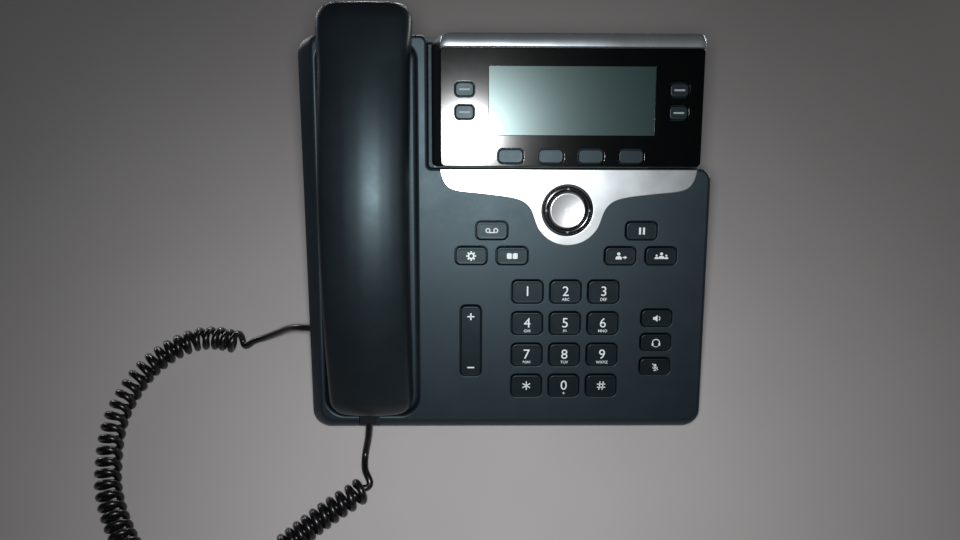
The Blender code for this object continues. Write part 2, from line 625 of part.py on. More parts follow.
start = world(-104.8 - GAP, SOCK_V, SOCK_W)
end = world(JACK_U, 5.5 - GAP, JACK_W)
LEAD_Z = LEAD_R + 0.3
COIL_Z = COIL_R + 0.2
# the cord's route over the table, from the base to the handset
ROUTE = [
    (start.x, start.y, start.z),
    (start.x - 2.6, start.y, start.z),
    (start.x - 7.0, start.y + 1.3, start.z - 1.8),
    (-119.0, start.y + 4.6, 29.6),
    (-128.5, start.y + 7.3, 19.6),
    (-138.0, start.y + 9.0, 11.2),
    (-144.4, start.y + 9.2, 8.1),
    (-150.2, start.y + 8.6, COIL_Z),
    (-156.8, start.y + 9.6, COIL_Z),
    (-164.2, start.y + 11.2, COIL_Z),
    (-175.0, start.y + 10.8, COIL_Z),
    (-185.5, start.y + 6.2, COIL_Z),
    (-193.9, start.y - 0.5, COIL_Z),
    (-201.4, start.y - 10.0, COIL_Z),
    (-207.0, start.y - 22.8, COIL_Z),
    (-210.0, start.y - 36.7, COIL_Z),
    (-209.8, start.y - 51.0, COIL_Z),
    (-207.6, start.y - 64.5, COIL_Z),
    (-205.0, start.y - 75.4, COIL_Z),
    (-200.8, start.y - 85.4, COIL_Z),
    (-195.0, start.y - 95.6, COIL_Z),
    (-188.0, start.y - 105.6, COIL_Z),
    (-178.0, start.y - 116.6, COIL_Z),
    (-164.5, start.y - 125.4, COIL_Z),
    (-149.0, start.y - 128.4, COIL_Z),
    (-134.0, start.y - 124.6, COIL_Z),
    (-120.5, start.y - 115.6, COIL_Z),
    (-107.5, start.y - 104.4, COIL_Z),
    (-97.2, start.y - 95.2, COIL_Z),
    (-89.6, start.y - 89.2, COIL_Z),
    (-82.6, start.y - 84.2, COIL_Z),
    (-76.9, start.y - 79.8, COIL_Z),
    (-75.2, start.y - 74.2, COIL_Z),
    (-75.0, start.y - 69.6, LEAD_Z + 4.0),
    (-75.6, start.y - 64.4, LEAD_Z + 1.0),
    (-76.0, start.y - 59.8, LEAD_Z),
    (end.x - 2.4, end.y - 11.0, LEAD_Z + 1.2),
    (end.x - 0.8, end.y - 6.6, end.z - 7.6),
    (end.x, end.y - 2.4, end.z - 2.4),
    (end.x, end.y, end.z),
]


def smooth_route(points, step):
    """Centripetal spline through the points, resampled at an even step."""
    P = [Vector(p) for p in points]
    P = [P[0] * 2 - P[1]] + P + [P[-1] * 2 - P[-2]]
    dense = []
    for i in range(1, len(P) - 2):
        p0, p1, p2, p3 = P[i - 1], P[i], P[i + 1], P[i + 2]
        t0 = 0.0
        t1 = t0 + (p1 - p0).length ** 0.5
        t2 = t1 + (p2 - p1).length ** 0.5
        t3 = t2 + (p3 - p2).length ** 0.5
        for k in range(24):
            t = t1 + (t2 - t1) * k / 24
            a1 = p0 * ((t1 - t) / (t1 - t0)) + p1 * ((t - t0) / (t1 - t0))
            a2 = p1 * ((t2 - t) / (t2 - t1)) + p2 * ((t - t1) / (t2 - t1))
            a3 = p2 * ((t3 - t) / (t3 - t2)) + p3 * ((t - t2) / (t3 - t2))
            b1 = a1 * ((t2 - t) / (t2 - t0)) + a2 * ((t - t0) / (t2 - t0))
            b2 = a2 * ((t3 - t) / (t3 - t1)) + a3 * ((t - t1) / (t3 - t1))
            dense.append(b1 * ((t2 - t) / (t2 - t1)) + b2 * ((t - t1) / (t2 - t1)))
    dense.append(P[-2])
    out, acc = [0.0], 0.0
    for a_, b_ in zip(dense, dense[1:]):
        acc += (b_ - a_).length
        out.append(acc)
    return dense, out


def sample(dense, lens, s):
    import bisect
    i = max(1, min(len(lens) - 1, bisect.bisect_left(lens, s)))
    t = (s - lens[i - 1]) / max(1e-9, lens[i] - lens[i - 1])
    return dense[i - 1].lerp(dense[i], max(0.0, min(1.0, t)))


dense, lens = smooth_route(ROUTE, 4.0)


def s_near(p):
    q = Vector(p)
    return lens[min(range(len(dense)), key=lambda i: (dense[i] - q).length)]


S1 = s_near(ROUTE[7])
S2 = s_near(ROUTE[32])


def cord_piece(name, s0, s1, radius, count, res):
    cu = bpy.data.curves.new(name, 'CURVE')
    cu.dimensions = '3D'
    cu.bevel_depth = radius * MM
    cu.bevel_resolution = res
    cu.use_fill_caps = True
    cu.resolution_u = 1
    cu.render_resolution_u = 0
    sp = cu.splines.new('POLY')
    pts = [sample(dense, lens, s0 + (s1 - s0) * i / (count - 1)) for i in range(count)]
    sp.points.add(count - 1)
    for p, q in zip(sp.points, pts):
        p.co = (q.x * MM, q.y * MM, q.z * MM, 1.0)
    ob = bpy.data.objects.new(name, cu)
    bpy.context.scene.collection.objects.link(ob)
    cu.materials.append(material(name + "_mat", *MAT["cord"]))
    return ob


cord_piece("cord_lead_base", 0.0, S1 - 0.3, LEAD_R, 16, 2)
cord_piece("curly_cord", S1 + 0.3, S2 - 0.3, COIL_R, 40, 3)
cord_piece("cord_lead_handset", S2 + 0.5, lens[-1], LEAD_R, 20, 2)
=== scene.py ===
"""Looks for the desk IP phone: camera and cord first, then every visible piece."""
import bpy
import bmesh
import math
from mathutils import Matrix, Vector

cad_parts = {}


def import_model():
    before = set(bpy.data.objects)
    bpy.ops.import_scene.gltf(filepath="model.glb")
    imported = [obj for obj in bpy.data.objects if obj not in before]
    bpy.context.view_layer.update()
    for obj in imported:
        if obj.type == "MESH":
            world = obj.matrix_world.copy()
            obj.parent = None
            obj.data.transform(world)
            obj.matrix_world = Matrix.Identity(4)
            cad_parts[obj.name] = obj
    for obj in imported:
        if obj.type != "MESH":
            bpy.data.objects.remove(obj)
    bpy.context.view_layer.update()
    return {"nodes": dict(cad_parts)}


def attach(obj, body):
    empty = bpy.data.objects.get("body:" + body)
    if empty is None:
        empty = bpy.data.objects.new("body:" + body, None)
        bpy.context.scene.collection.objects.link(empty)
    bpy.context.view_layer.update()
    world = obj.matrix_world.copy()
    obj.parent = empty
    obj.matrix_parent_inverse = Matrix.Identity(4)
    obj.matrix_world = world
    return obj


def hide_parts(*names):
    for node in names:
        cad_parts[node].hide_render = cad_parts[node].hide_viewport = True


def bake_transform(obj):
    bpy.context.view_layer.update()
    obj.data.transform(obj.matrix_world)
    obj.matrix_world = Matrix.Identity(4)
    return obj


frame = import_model()
NODES = frame["nodes"]
MM = 0.001

# ------------------------------------------------------------ shared layout
TILT = 44.3
FACE_Y, FACE_Z = -78.95, 12.5
CT, ST = math.cos(math.radians(TILT)), math.sin(math.radians(TILT))
FACE = Matrix.Translation((0.0, FACE_Y * MM, FACE_Z * MM)) @ Matrix.Rotation(math.radians(TILT), 4, 'X')
TO_WORLD = FACE @ Matrix.Scale(MM, 4)


def world(u, v, w):
    """Face frame millimetres to world millimetres."""
    return Vector((u, FACE_Y + v * CT - w * ST, FACE_Z + v * ST + w * CT))


# ------------------------------------------------------------------- camera
CAM_FACE = Vector((-20.5, 151.1, 398.4))
CAM_YAW, CAM_PITCH, CAM_ROLL = math.radians(-0.90), math.radians(-9.26), math.radians(0.22)
cam_rot = (Matrix.Rotation(CAM_YAW, 4, 'Y') @ Matrix.Rotation(CAM_PITCH, 4, 'X')
           @ Matrix.Rotation(CAM_ROLL, 4, 'Z'))
cam_data = bpy.data.cameras.new("camera")
cam_data.sensor_width = 36.0
cam_data.lens = 784.9 / 960.0 * 36.0
cam_data.clip_start = 0.01
camera = bpy.data.objects.new("camera", cam_data)
bpy.context.scene.collection.objects.link(camera)
camera.matrix_world = Matrix.Translation(FACE @ (CAM_FACE * MM)) @ (FACE.to_3x3().to_4x4() @ cam_rot)
bpy.context.scene.camera = camera


# ---------------------------------------------------------------- materials
def node_mat(name):
    m = bpy.data.materials.new(name)
    m.use_nodes = True
    nt = m.node_tree
    return m, nt, nt.nodes["Principled BSDF"]


def link(nt, a, b):
    nt.links.new(a, b)


def obj_coords(nt, scale):
    tc = nt.nodes.new("ShaderNodeTexCoord")
    mp = nt.nodes.new("ShaderNodeMapping")
    mp.inputs["Scale"].default_value = (scale, scale, scale)
    link(nt, tc.outputs["Object"], mp.inputs["Vector"])
    return mp.outputs["Vector"]


def noise(nt, vec, scale, detail=3.0, rough=0.5):
    n = nt.nodes.new("ShaderNodeTexNoise")
    n.inputs["Scale"].default_value = scale
    n.inputs["Detail"].default_value = detail
    n.inputs["Roughness"].default_value = rough
    link(nt, vec, n.inputs["Vector"])
    return n.outputs["Fac"]


def ramp(nt, fac, stops):
    r = nt.nodes.new("ShaderNodeValToRGB")
    el = r.color_ramp.elements
    el[0].position, el[0].color = stops[0][0], (*stops[0][1], 1)
    el[1].position, el[1].color = stops[-1][0], (*stops[-1][1], 1)
    for p, c in stops[1:-1]:
        e = el.new(p)
        e.color = (*c, 1)
    link(nt, fac, r.inputs["Fac"])
    return r.outputs["Color"]


def map_range(nt, fac, lo, hi):
    r = nt.nodes.new("ShaderNodeMapRange")
    r.inputs["To Min"].default_value = lo
    r.inputs["To Max"].default_value = hi
    link(nt, fac, r.inputs["Value"])
    return r.outputs["Result"]


def moulded(name, rgb, rough, grain_mm=0.28, grain=0.12, spread=0.12, coat=0.0, spec=0.5, tint=(1, 1, 1)):
    """Injection-moulded plastic: spark-eroded grain, slight mottling and handling wear."""
    m, nt, b = node_mat(name)
    vec = obj_coords(nt, 1000.0)
    big = noise(nt, vec, 0.035, 4.0, 0.6)
    dark = tuple(c * (1 - spread) for c in rgb)
    lite = tuple(min(1.0, c * (1 + spread)) for c in rgb)
    link(nt, ramp(nt, big, [(0.3, dark), (0.7, lite)]), b.inputs["Base Color"])
    wear = noise(nt, vec, 0.09, 5.0, 0.65)
    link(nt, map_range(nt, wear, rough - 0.06, rough + 0.07), b.inputs["Roughness"])
    b.inputs["Specular IOR Level"].default_value = spec
    b.inputs["Specular Tint"].default_value = (*tint, 1)
    b.inputs["Coat Weight"].default_value = coat
    b.inputs["Coat Roughness"].default_value = 0.2
    fine = noise(nt, vec, 1.0 / grain_mm, 2.0, 0.5)
    bump = nt.nodes.new("ShaderNodeBump")
    bump.inputs["Strength"].default_value = grain
    bump.inputs["Distance"].default_value = 0.00005
    link(nt, fine, bump.inputs["Height"])
    link(nt, bump.outputs["Normal"], b.inputs["Normal"])
    return m


def silver(name, rgb, rough, metal=0.85):
    """Silver lacquer on plastic, with fine flake."""
    m, nt, b = node_mat(name)
    vec = obj_coords(nt, 1000.0)
    flake = noise(nt, vec, 6.0, 2.0, 0.7)
    big = noise(nt, vec, 0.05, 3.0, 0.5)
    mix = nt.nodes.new("ShaderNodeMath"); mix.operation = 'ADD'
    link(nt, map_range(nt, flake, -0.5, 0.5), mix.inputs[0])
    link(nt, big, mix.inputs[1])
    link(nt, ramp(nt, mix.outputs[0], [(0.2, tuple(c * 0.9 for c in rgb)), (0.8, tuple(min(1, c * 1.06) for c in rgb))]),
         b.inputs["Base Color"])
    b.inputs["Metallic"].default_value = metal
    link(nt, map_range(nt, big, rough - 0.05, rough + 0.05), b.inputs["Roughness"])
    bump = nt.nodes.new("ShaderNodeBump")
    bump.inputs["Strength"].default_value = 0.08
    bump.inputs["Distance"].default_value = 0.00002
    link(nt, flake, bump.inputs["Height"])
    link(nt, bump.outputs["Normal"], b.inputs["Normal"])
    return m


def glossy(name, rgb, rough, smear=0.04, coat=0.4):
    """Polished plastic with faint fingerprints in its roughness."""
    m, nt, b = node_mat(name)
    vec = obj_coords(nt, 1000.0)
    s = noise(nt, vec, 0.12, 6.0, 0.7)
    link(nt, map_range(nt, s, max(0.01, rough - smear), rough + smear), b.inputs["Roughness"])
    s2 = noise(nt, vec, 0.04, 3.0, 0.5)
    link(nt, ramp(nt, s2, [(0.3, tuple(c * 0.85 for c in rgb)), (0.7, tuple(min(1, c * 1.15) for c in rgb))]),
         b.inputs["Base Color"])
    b.inputs["Coat Weight"].default_value = coat
    b.inputs["Coat Roughness"].default_value = rough
    return m


BLUE = (0.66, 0.90, 1.0)
M_SLATE = moulded("slate_plastic", (0.0105, 0.0150, 0.0205), 0.45, 0.30, 0.16, spec=0.55, tint=BLUE)
M_HANDSET = moulded("handset_plastic", (0.0075, 0.0100, 0.0130), 0.42, 0.24, 0.10, spec=0.48, tint=BLUE)
M_DARK = moulded("dark_plastic", (0.006, 0.007, 0.009), 0.45, 0.25, 0.10)
M_REAR = moulded("rear_plastic", (0.014, 0.019, 0.025), 0.5, 0.35, 0.2, tint=BLUE)
M_KEY = moulded("key_plastic", (0.0045, 0.0066, 0.0092), 0.38, 0.2, 0.06, spec=0.38, tint=BLUE)
M_POD_KEY = moulded("display_key_plastic", (0.0040, 0.0052, 0.0070), 0.40, 0.2, 0.06, spec=0.38, tint=BLUE)
M_SILVER = silver("silver_lacquer", (0.72, 0.76, 0.79), 0.30)
M_TRIM = silver("trim_lacquer", (0.60, 0.66, 0.71), 0.26)
M_SELECT = silver("select_silver", (0.93, 0.96, 0.97), 0.24, 0.72)
M_GLOSS = glossy("display_gloss", (0.0015, 0.0018, 0.0020), 0.135, 0.012, 0.0)
M_RING = glossy("ring_gloss", (0.010, 0.012, 0.015), 0.16)
M_LEGEND = moulded("legend_white", (0.78, 0.82, 0.84), 0.5, 0.3, 0.02, 0.03)
M_LEGEND_DIM = moulded("legend_grey", (0.30, 0.34, 0.36), 0.5, 0.3, 0.02, 0.03)
M_RUBBER = moulded("rubber", (0.012, 0.012, 0.012), 0.85, 0.5, 0.35)
M_CORD = moulded("cord_jacket", (0.006, 0.006, 0.007), 0.30, 0.5, 0.05, 0.1, 0.15)
M_PLUG = glossy("plug_smoke", (0.016, 0.017, 0.018), 0.20)
M_CONTACT = silver("contact_gold", (0.86, 0.66, 0.30), 0.25, 1.0)
M_LAMP = glossy("lamp_lens", (0.085, 0.085, 0.090), 0.28)
M_BOARD = moulded("circuit_board", (0.015, 0.10, 0.045), 0.4, 0.5, 0.1)
M_MAT = moulded("keypad_rubber", (0.08, 0.08, 0.085), 0.75, 0.5, 0.2)
M_CONE = moulded("speaker_cone", (0.02, 0.02, 0.021), 0.7, 0.4, 0.3)
M_SOCKET = moulded("socket_plastic", (0.030, 0.030, 0.032), 0.45, 0.3, 0.08)

# lcd: grey-teal screen with a faint, broad tone variation
M_LCD, _nt, _b = node_mat("lcd_screen")
_vec = obj_coords(_nt, 1000.0)
_n = noise(_nt, _vec, 0.02, 2.0, 0.4)
_col = ramp(_nt, _n, [(0.25, (0.014, 0.030, 0.031)), (0.75, (0.019, 0.037, 0.038))])
link(_nt, _col, _b.inputs["Base Color"])
_b.inputs["Roughness"].default_value = 0.265
_b.inputs["Specular IOR Level"].default_value = 0.66
_b.inputs["Specular Tint"].default_value = (0.78, 1.0, 1.0, 1)


# ------------------------------------------------------------ mesh building
def as_object(name, bm, mats, body, xf=TO_WORLD, angle=35.0, clean=True):
    """A bmesh in face millimetres becomes a named piece riding on a body."""
    if clean:
        bmesh.ops.recalc_face_normals(bm, faces=bm.faces)
    bm.transform(xf)
    me = bpy.data.meshes.new(name)
    bm.to_mesh(me)
    bm.free()
    ob = bpy.data.objects.new(name, me)
    bpy.context.scene.collection.objects.link(ob)
    for m in (mats if isinstance(mats, (list, tuple)) else [mats]):
        me.materials.append(m)
    me.shade_smooth()
    me.set_sharp_from_angle(angle=math.radians(angle))
    even(ob)
    if body:
        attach(ob, body)
    return ob


def even(ob):
    """Keep wide flats flat where they meet small rolled edges."""
    w = ob.modifiers.new("normals", 'WEIGHTED_NORMAL')
    w.keep_sharp = True
    w.weight = 90
    w.mode = 'FACE_AREA_WITH_ANGLE'


def rounded(points, seg=6):
    out = []
    n = len(points)
    for i in range(n):
        p = Vector(points[i][:2])
        a = Vector(points[i - 1][:2])
        b = Vector(points[(i + 1) % n][:2])
        r = points[i][2]
        d1, d2 = (a - p).normalized(), (b - p).normalized()
        half = math.acos(max(-1, min(1, d1.dot(d2)))) / 2
        if r <= 0:
            out.append(tuple(p))
            continue
        t = r / math.tan(half)
        c = p + (d1 + d2).normalized() * (r / math.sin(half))
        s, e = p + d1 * t, p + d2 * t
        a0 = math.atan2(s.y - c.y, s.x - c.x)
        a1 = math.atan2(e.y - c.y, e.x - c.x)
        da = (a1 - a0 + math.pi) % (2 * math.pi) - math.pi
        for k in range(seg + 1):
            an = a0 + da * k / seg
            out.append((c.x + r * math.cos(an), c.y + r * math.sin(an)))
    return out


def inset_poly(points, d):
    out = []
    n = len(points)
    for i in range(n):
        p = Vector(points[i][:2])
        a = Vector(points[i - 1][:2])
        b = Vector(points[(i + 1) % n][:2])
        e1, e2 = (p - a).normalized(), (b - p).normalized()
        n1, n2 = Vector((-e1.y, e1.x)), Vector((-e2.y, e2.x))
        q = p + (n1 + n2) * (d / (1 + n1.dot(n2)))
        convex = e1.x * e2.y - e1.y * e2.x > 0
        r = points[i][2]
        if r > 0:
            r = max(r - d, 0.15) if convex else r + d
        out.append((q.x, q.y, r))
    return out


def box_pts(cu, cv, w, h, r):
    return [(cu - w / 2, cv - h / 2, r), (cu + w / 2, cv - h / 2, r),
            (cu + w / 2, cv + h / 2, r), (cu - w / 2, cv + h / 2, r)]


def stack(layers, bm=None):
    bm = bm or bmesh.new()
    rings = [[bm.verts.new((x, y, z)) for x, y in pts] for pts, z in layers]
    bm.faces.new(list(reversed(rings[0])))
    bm.faces.new(rings[-1])
    for lo, hi in zip(rings, rings[1:]):
        n = len(lo)
        for i in range(n):
            j = (i + 1) % n
            bm.faces.new((lo[i], lo[j], hi[j], hi[i]))
    return bm


def round_edge(points, w, r, steps=5, seg=6, down=False):
    """Layers that roll an outline over an edge of radius r, ending at height w."""
    out = []
    for k in range(steps + 1):
        a = math.pi / 2 * k / steps
        d = r * (1 - math.cos(a))
        z = w - r * (1 - math.sin(a)) if not down else w + r * (1 - math.sin(a))
        out.append((rounded(inset_poly(points, d), seg), z))
    return out


def slab(points, w0, w1, seg=6):
    p = rounded(points, seg)
    return stack([(p, w0), (p, w1)])


def circle(cu, cv, r, n=64):
    return [(cu + r * math.cos(2 * math.pi * i / n), cv + r * math.sin(2 * math.pi * i / n)) for i in range(n)]


def lathe_ring(cu, cv, prof, n=96):
    """Closed profile of (radius, w) turned about w."""
    bm = bmesh.new()
    rings = [[bm.verts.new((cu + r * math.cos(2 * math.pi * i / n), cv + r * math.sin(2 * math.pi * i / n), w))
              for i in range(n)] for r, w in prof]
    m = len(rings)
    for k in range(m):
        a, b = rings[k], rings[(k + 1) % m]
        for i in range(n):
            j = (i + 1) % n
            bm.faces.new((a[i], a[j], b[j], b[i]))
    return bm


def merge(bms):
    out = bmesh.new()
    for b in bms:
        me = bpy.data.meshes.new("tmp")
        b.to_mesh(me)
        b.free()
        out.from_mesh(me)
        bpy.data.meshes.remove(me)
    return out


def cut(ob, bms, op='DIFFERENCE'):
    """Apply a Boolean with the given cutters and take its result."""
    bm = merge(bms)
    bmesh.ops.recalc_face_normals(bm, faces=bm.faces)
    bm.transform(TO_WORLD)
    me = bpy.data.meshes.new("cutter")
    bm.to_mesh(me)
    bm.free()
    c = bpy.data.objects.new("cutter", me)
    bpy.context.scene.collection.objects.link(c)
    ob.modifiers.clear()
    m = ob.modifiers.new("cut", 'BOOLEAN')
    m.operation = op
    m.object = c
    m.solver = 'EXACT'
    apply_mods(ob)
    bpy.data.objects.remove(c, do_unlink=True)


def apply_mods(ob):
    bpy.context.view_layer.update()
    dg = bpy.context.evaluated_depsgraph_get()
    me = bpy.data.meshes.new_from_object(ob.evaluated_get(dg), depsgraph=dg)
    old = ob.data
    ob.modifiers.clear()
    ob.data = me
    bpy.data.meshes.remove(old)
    me.name = ob.name
    me.shade_smooth()
    me.set_sharp_from_angle(angle=math.radians(30))
    even(ob)


# --------------------------------------------------------------------- cord
LEAD_R, COIL_R = 1.8, 7.1
SOCK_V, SOCK_W = 52.0, -15.0
JACK_U, JACK_W = -72.5, 1.6
GAP = 0.3
start = world(-104.8 - GAP, SOCK_V, SOCK_W)
end = world(JACK_U, 5.5 - GAP, JACK_W)
LEAD_Z, COIL_Z = LEAD_R + 0.3, COIL_R + 0.2
ROUTE = [
    (start.x, start.y, start.z),
    (start.x - 2.6, start.y, start.z),
    (start.x - 7.0, start.y + 1.3, start.z - 1.8),
    (-119.0, start.y + 4.6, 29.6),
    (-128.5, start.y + 7.3, 19.6),
    (-138.0, start.y + 9.0, 11.2),
    (-144.4, start.y + 9.2, 8.1),
    (-150.2, start.y + 8.6, COIL_Z),
    (-156.8, start.y + 9.6, COIL_Z),
    (-164.2, start.y + 11.2, COIL_Z),
    (-175.0, start.y + 10.8, COIL_Z),
    (-185.5, start.y + 6.2, COIL_Z),
    (-193.9, start.y - 0.5, COIL_Z),
    (-201.4, start.y - 10.0, COIL_Z),
    (-207.0, start.y - 22.8, COIL_Z),
    (-210.0, start.y - 36.7, COIL_Z),
    (-209.8, start.y - 51.0, COIL_Z),
    (-207.6, start.y - 64.5, COIL_Z),
    (-205.0, start.y - 75.4, COIL_Z),
    (-200.8, start.y - 85.4, COIL_Z),
    (-195.0, start.y - 95.6, COIL_Z),
    (-188.0, start.y - 105.6, COIL_Z),
    (-178.0, start.y - 116.6, COIL_Z),
    (-164.5, start.y - 125.4, COIL_Z),
    (-149.0, start.y - 128.4, COIL_Z),
    (-134.0, start.y - 124.6, COIL_Z),
    (-120.5, start.y - 115.6, COIL_Z),
    (-107.5, start.y - 104.4, COIL_Z),
    (-97.2, start.y - 95.2, COIL_Z),
    (-89.6, start.y - 89.2, COIL_Z),
    (-83.0, start.y - 84.4, COIL_Z),
    (-77.6, start.y - 80.6, COIL_Z),
    (-73.9, start.y - 77.0, COIL_Z),
    (-73.6, start.y - 71.6, LEAD_Z + 4.6),
    (-74.6, start.y - 65.6, LEAD_Z + 1.6),
    (-75.2, start.y - 60.4, LEAD_Z + 0.2),
    (end.x - 2.4, end.y - 11.0, LEAD_Z + 1.2),
    (end.x - 0.8, end.y - 6.6, end.z - 7.6),
    (end.x, end.y - 2.4, end.z - 2.4),
    (end.x, end.y, end.z),
]
COIL_FROM, COIL_TO = 7, 32


def dense_route(points, per=24):
    pts = [Vector(p) for p in points]
    pts = [pts[0] * 2 - pts[1]] + pts + [pts[-1] * 2 - pts[-2]]
    dense = []
    for i in range(1, len(pts) - 2):
        p0, p1, p2, p3 = pts[i - 1:i + 3]
        t0 = 0.0
        t1 = t0 + (p1 - p0).length ** 0.5
        t2 = t1 + (p2 - p1).length ** 0.5
        t3 = t2 + (p3 - p2).length ** 0.5
        for k in range(per):
            t = t1 + (t2 - t1) * k / per
            a1 = p0 * ((t1 - t) / (t1 - t0)) + p1 * ((t - t0) / (t1 - t0))
            a2 = p1 * ((t2 - t) / (t2 - t1)) + p2 * ((t - t1) / (t2 - t1))
            a3 = p2 * ((t3 - t) / (t3 - t2)) + p3 * ((t - t2) / (t3 - t2))
            b1 = a1 * ((t2 - t) / (t2 - t0)) + a2 * ((t - t0) / (t2 - t0))
            b2 = a2 * ((t3 - t) / (t3 - t1)) + a3 * ((t - t1) / (t3 - t1))
            dense.append(b1 * ((t2 - t) / (t2 - t1)) + b2 * ((t - t1) / (t2 - t1)))
    dense.append(pts[-2])
    acc = [0.0]
    for a, b in zip(dense, dense[1:]):
        acc.append(acc[-1] + (b - a).length)
    return dense, acc


dense, acc = dense_route(ROUTE)


def at(s):
    lo, hi = 0, len(acc) - 1
    while hi - lo > 1:
        mid = (lo + hi) // 2
        if acc[mid] <= s:
            lo = mid
        else:
            hi = mid
    t = (s - acc[lo]) / max(1e-9, acc[hi] - acc[lo])
    return dense[lo].lerp(dense[hi], max(0.0, min(1.0, t)))


def s_of(p):
    q = Vector(p)
    return acc[min(range(len(dense)), key=lambda i: (dense[i] - q).length)]


S1, S2, S3 = s_of(ROUTE[COIL_FROM]) + 1.0, s_of(ROUTE[COIL_TO]) + 2.2, acc[-1]


def smooth01(x):
    x = max(0.0, min(1.0, x))
    return x * x * (3 - 2 * x)


def pitch_at(s):
    """Turn spacing: relaxed at both ends, pulled open round the outer bend."""
    t = (s - S1) / (S2 - S1)
    return 4.7 + 1.7 * math.exp(-((t - 0.33) / 0.20) ** 2) + 0.7 * math.exp(-((t - 0.08) / 0.05) ** 2) + 1.7 * math.exp(-((t - 1.0) / 0.05) ** 2)


def cord_path():
    """Centreline: straight leads that swing off the axis and wind up into the helix."""
    helix = COIL_R - LEAD_R
    raw, s, ang = [], 0.0, -0.5 * math.pi
    n = Vector((0, 0, 1))
    ds = 0.12
    while s < S3:
        c = at(s)
        t = (at(min(s + 0.6, S3)) - at(max(s - 0.6, 0))).normalized()
        n = (n - t * n.dot(t)).normalized()
        b = t.cross(n)
        r = helix * smooth01((s - (S1 - 9.0)) / 10.0) * smooth01((S2 + 9.0 - s) / 10.0)
        turn = smooth01((s - (S1 - 2.5)) / 6.0) * smooth01((S2 + 2.5 - s) / 6.0)
        raw.append(c + (n * math.sin(ang) + b * math.cos(ang)) * r)
        ang += 2 * math.pi * turn * ds / pitch_at(max(S1, min(S2, s)))
        s += ds
    raw.append(at(S3))
    # even spacing along the wire
    out, left = [raw[0]], 1.7
    for p, q in zip(raw, raw[1:]):
        d = (q - p).length
        while d >= left:
            p = p.lerp(q, left / d)
            d -= left
            left = 1.7
            out.append(p.copy())
        left -= d
    if (out[-1] - raw[-1]).length < 0.9:
        out[-1] = raw[-1]
    else:
        out.append(raw[-1])
    return out


def smooth_points(pts, rounds=2):
    for _ in range(rounds):
        q = [pts[0]]
        for i in range(1, len(pts) - 1):
            q.append((pts[i - 1] + pts[i] * 2 + pts[i + 1]) / 4)
        q.append(pts[-1])
        pts = q
    return pts


def tube(pts, radius, sides=10):
    bm = bmesh.new()
    rings = []
    nrm = Vector((0, 0, 1))
    for i, p in enumerate(pts):
        a = pts[max(0, i - 1)]
        b = pts[min(len(pts) - 1, i + 1)]
        t = (b - a).normalized()
        nrm = nrm - t * nrm.dot(t)
        if nrm.length < 1e-6:
            nrm = t.orthogonal()
        nrm.normalize()
        bi = t.cross(nrm)
        r = radius(i) if callable(radius) else radius
        rings.append([bm.verts.new(p + (nrm * math.cos(2 * math.pi * k / sides) + bi * math.sin(2 * math.pi * k / sides)) * r)
                      for k in range(sides)])
    for a, b in zip(rings, rings[1:]):
        for k in range(sides):
            j = (k + 1) % sides
            bm.faces.new((a[k], a[j], b[j], b[k]))
    bm.faces.new(list(reversed(rings[0])))
    bm.faces.new(rings[-1])
    return bm


path_mm = smooth_points(cord_path(), 3)
cord = as_object("handset_cord", tube(path_mm, LEAD_R, 10), M_CORD, None, Matrix.Scale(MM, 4), 60)
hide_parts("cord_lead_base", "curly_cord", "cord_lead_handset")
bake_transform(cord)


# ---------------------------------------------------------- carried-over CAD
def node_of(name):
    ob = NODES[name]
    return bpy.data.objects[ob] if isinstance(ob, str) else ob


def dress(name, mat):
    ob = node_of(name)
    if not ob.data.materials:
        ob.data.materials.append(mat)
    for slot in ob.material_slots:
        slot.material = mat
    return ob


# ------------------------------------------------------------ front housing
BODY_W, BODY_H, PANEL_TOP = 206.0, 203.0, 138.2
REAR_W, PART_W = -22.0, -9.0
POD_L, POD_R = -38.7, 97.4
LENS_L, LENS_R, LENS_B, LENS_T = -34.0, 94.0, 139.2, 195.9
POD_FRONT = 8.0
LCD_U, LCD_V, LCD_W, LCD_H = 30.0, 170.9, 81.0, 33.0
NAV_U, NAV_V, NAV_R = 30.0, 117.0, 12.2
HS_U, HS_BOT, HS_TOP = -70.0, 12.0, 216.5
HS_PEAK_V, HS_PEAK_W, HS_R = 121.0, 36.0, 330.0
CROWN_V, CROWN_R, FLARE = 112.0, 270.0, 2.5
TROUGH_L, TROUGH_R, TROUGH_FLOOR = -95.2, -46.4, -7.2
HOOK_V = 172.0
CRADLE_R = -40.6
COL_U = (10.3, 30.0, 49.7)
ROW_V = (74.8, 58.1, 41.3, 24.5)
hw = BODY_W / 2

KEYS = {}
for i, row in enumerate((("key_1", "key_2", "key_3"), ("key_4", "key_5", "key_6"),
                         ("key_7", "key_8", "key_9"), ("key_star", "key_0", "key_hash"))):
    for j, nm in enumerate(row):
        KEYS[nm] = (COL_U[j], ROW_V[i], 15.8, 11.8, 2.6)
for nm, off, v in (("messages_key", -38.3, 106.6), ("hold_key", 38.3, 106.6),
                   ("settings_key", -48.8, 93.6), ("contacts_key", -27.8, 93.6),
                   ("transfer_key", 27.8, 93.6), ("conference_key", 48.8, 93.6)):
    KEYS[nm] = (NAV_U + off, v, 15.8, 9.0, 2.4)
for nm, v in (("speaker_key", 61.0), ("headset_key", 48.0), ("mute_key", 35.0)):
    KEYS[nm] = (77.8, v, 15.8, 8.8, 2.4)
POD_KEYS = {}
for i in range(4):
    POD_KEYS["soft_key_%d" % (i + 1)] = (0.45 + 19.7 * i, 144.3, 12.2, 6.8, 2.2)
for nm, u, v in (("line_key_1", -22.2, 176.2), ("line_key_2", -22.2, 165.4),
                 ("line_key_3", 82.0, 176.2), ("line_key_4", 82.0, 165.4)):
    POD_KEYS[nm] = (u, v, 9.0, 6.6, 2.0)
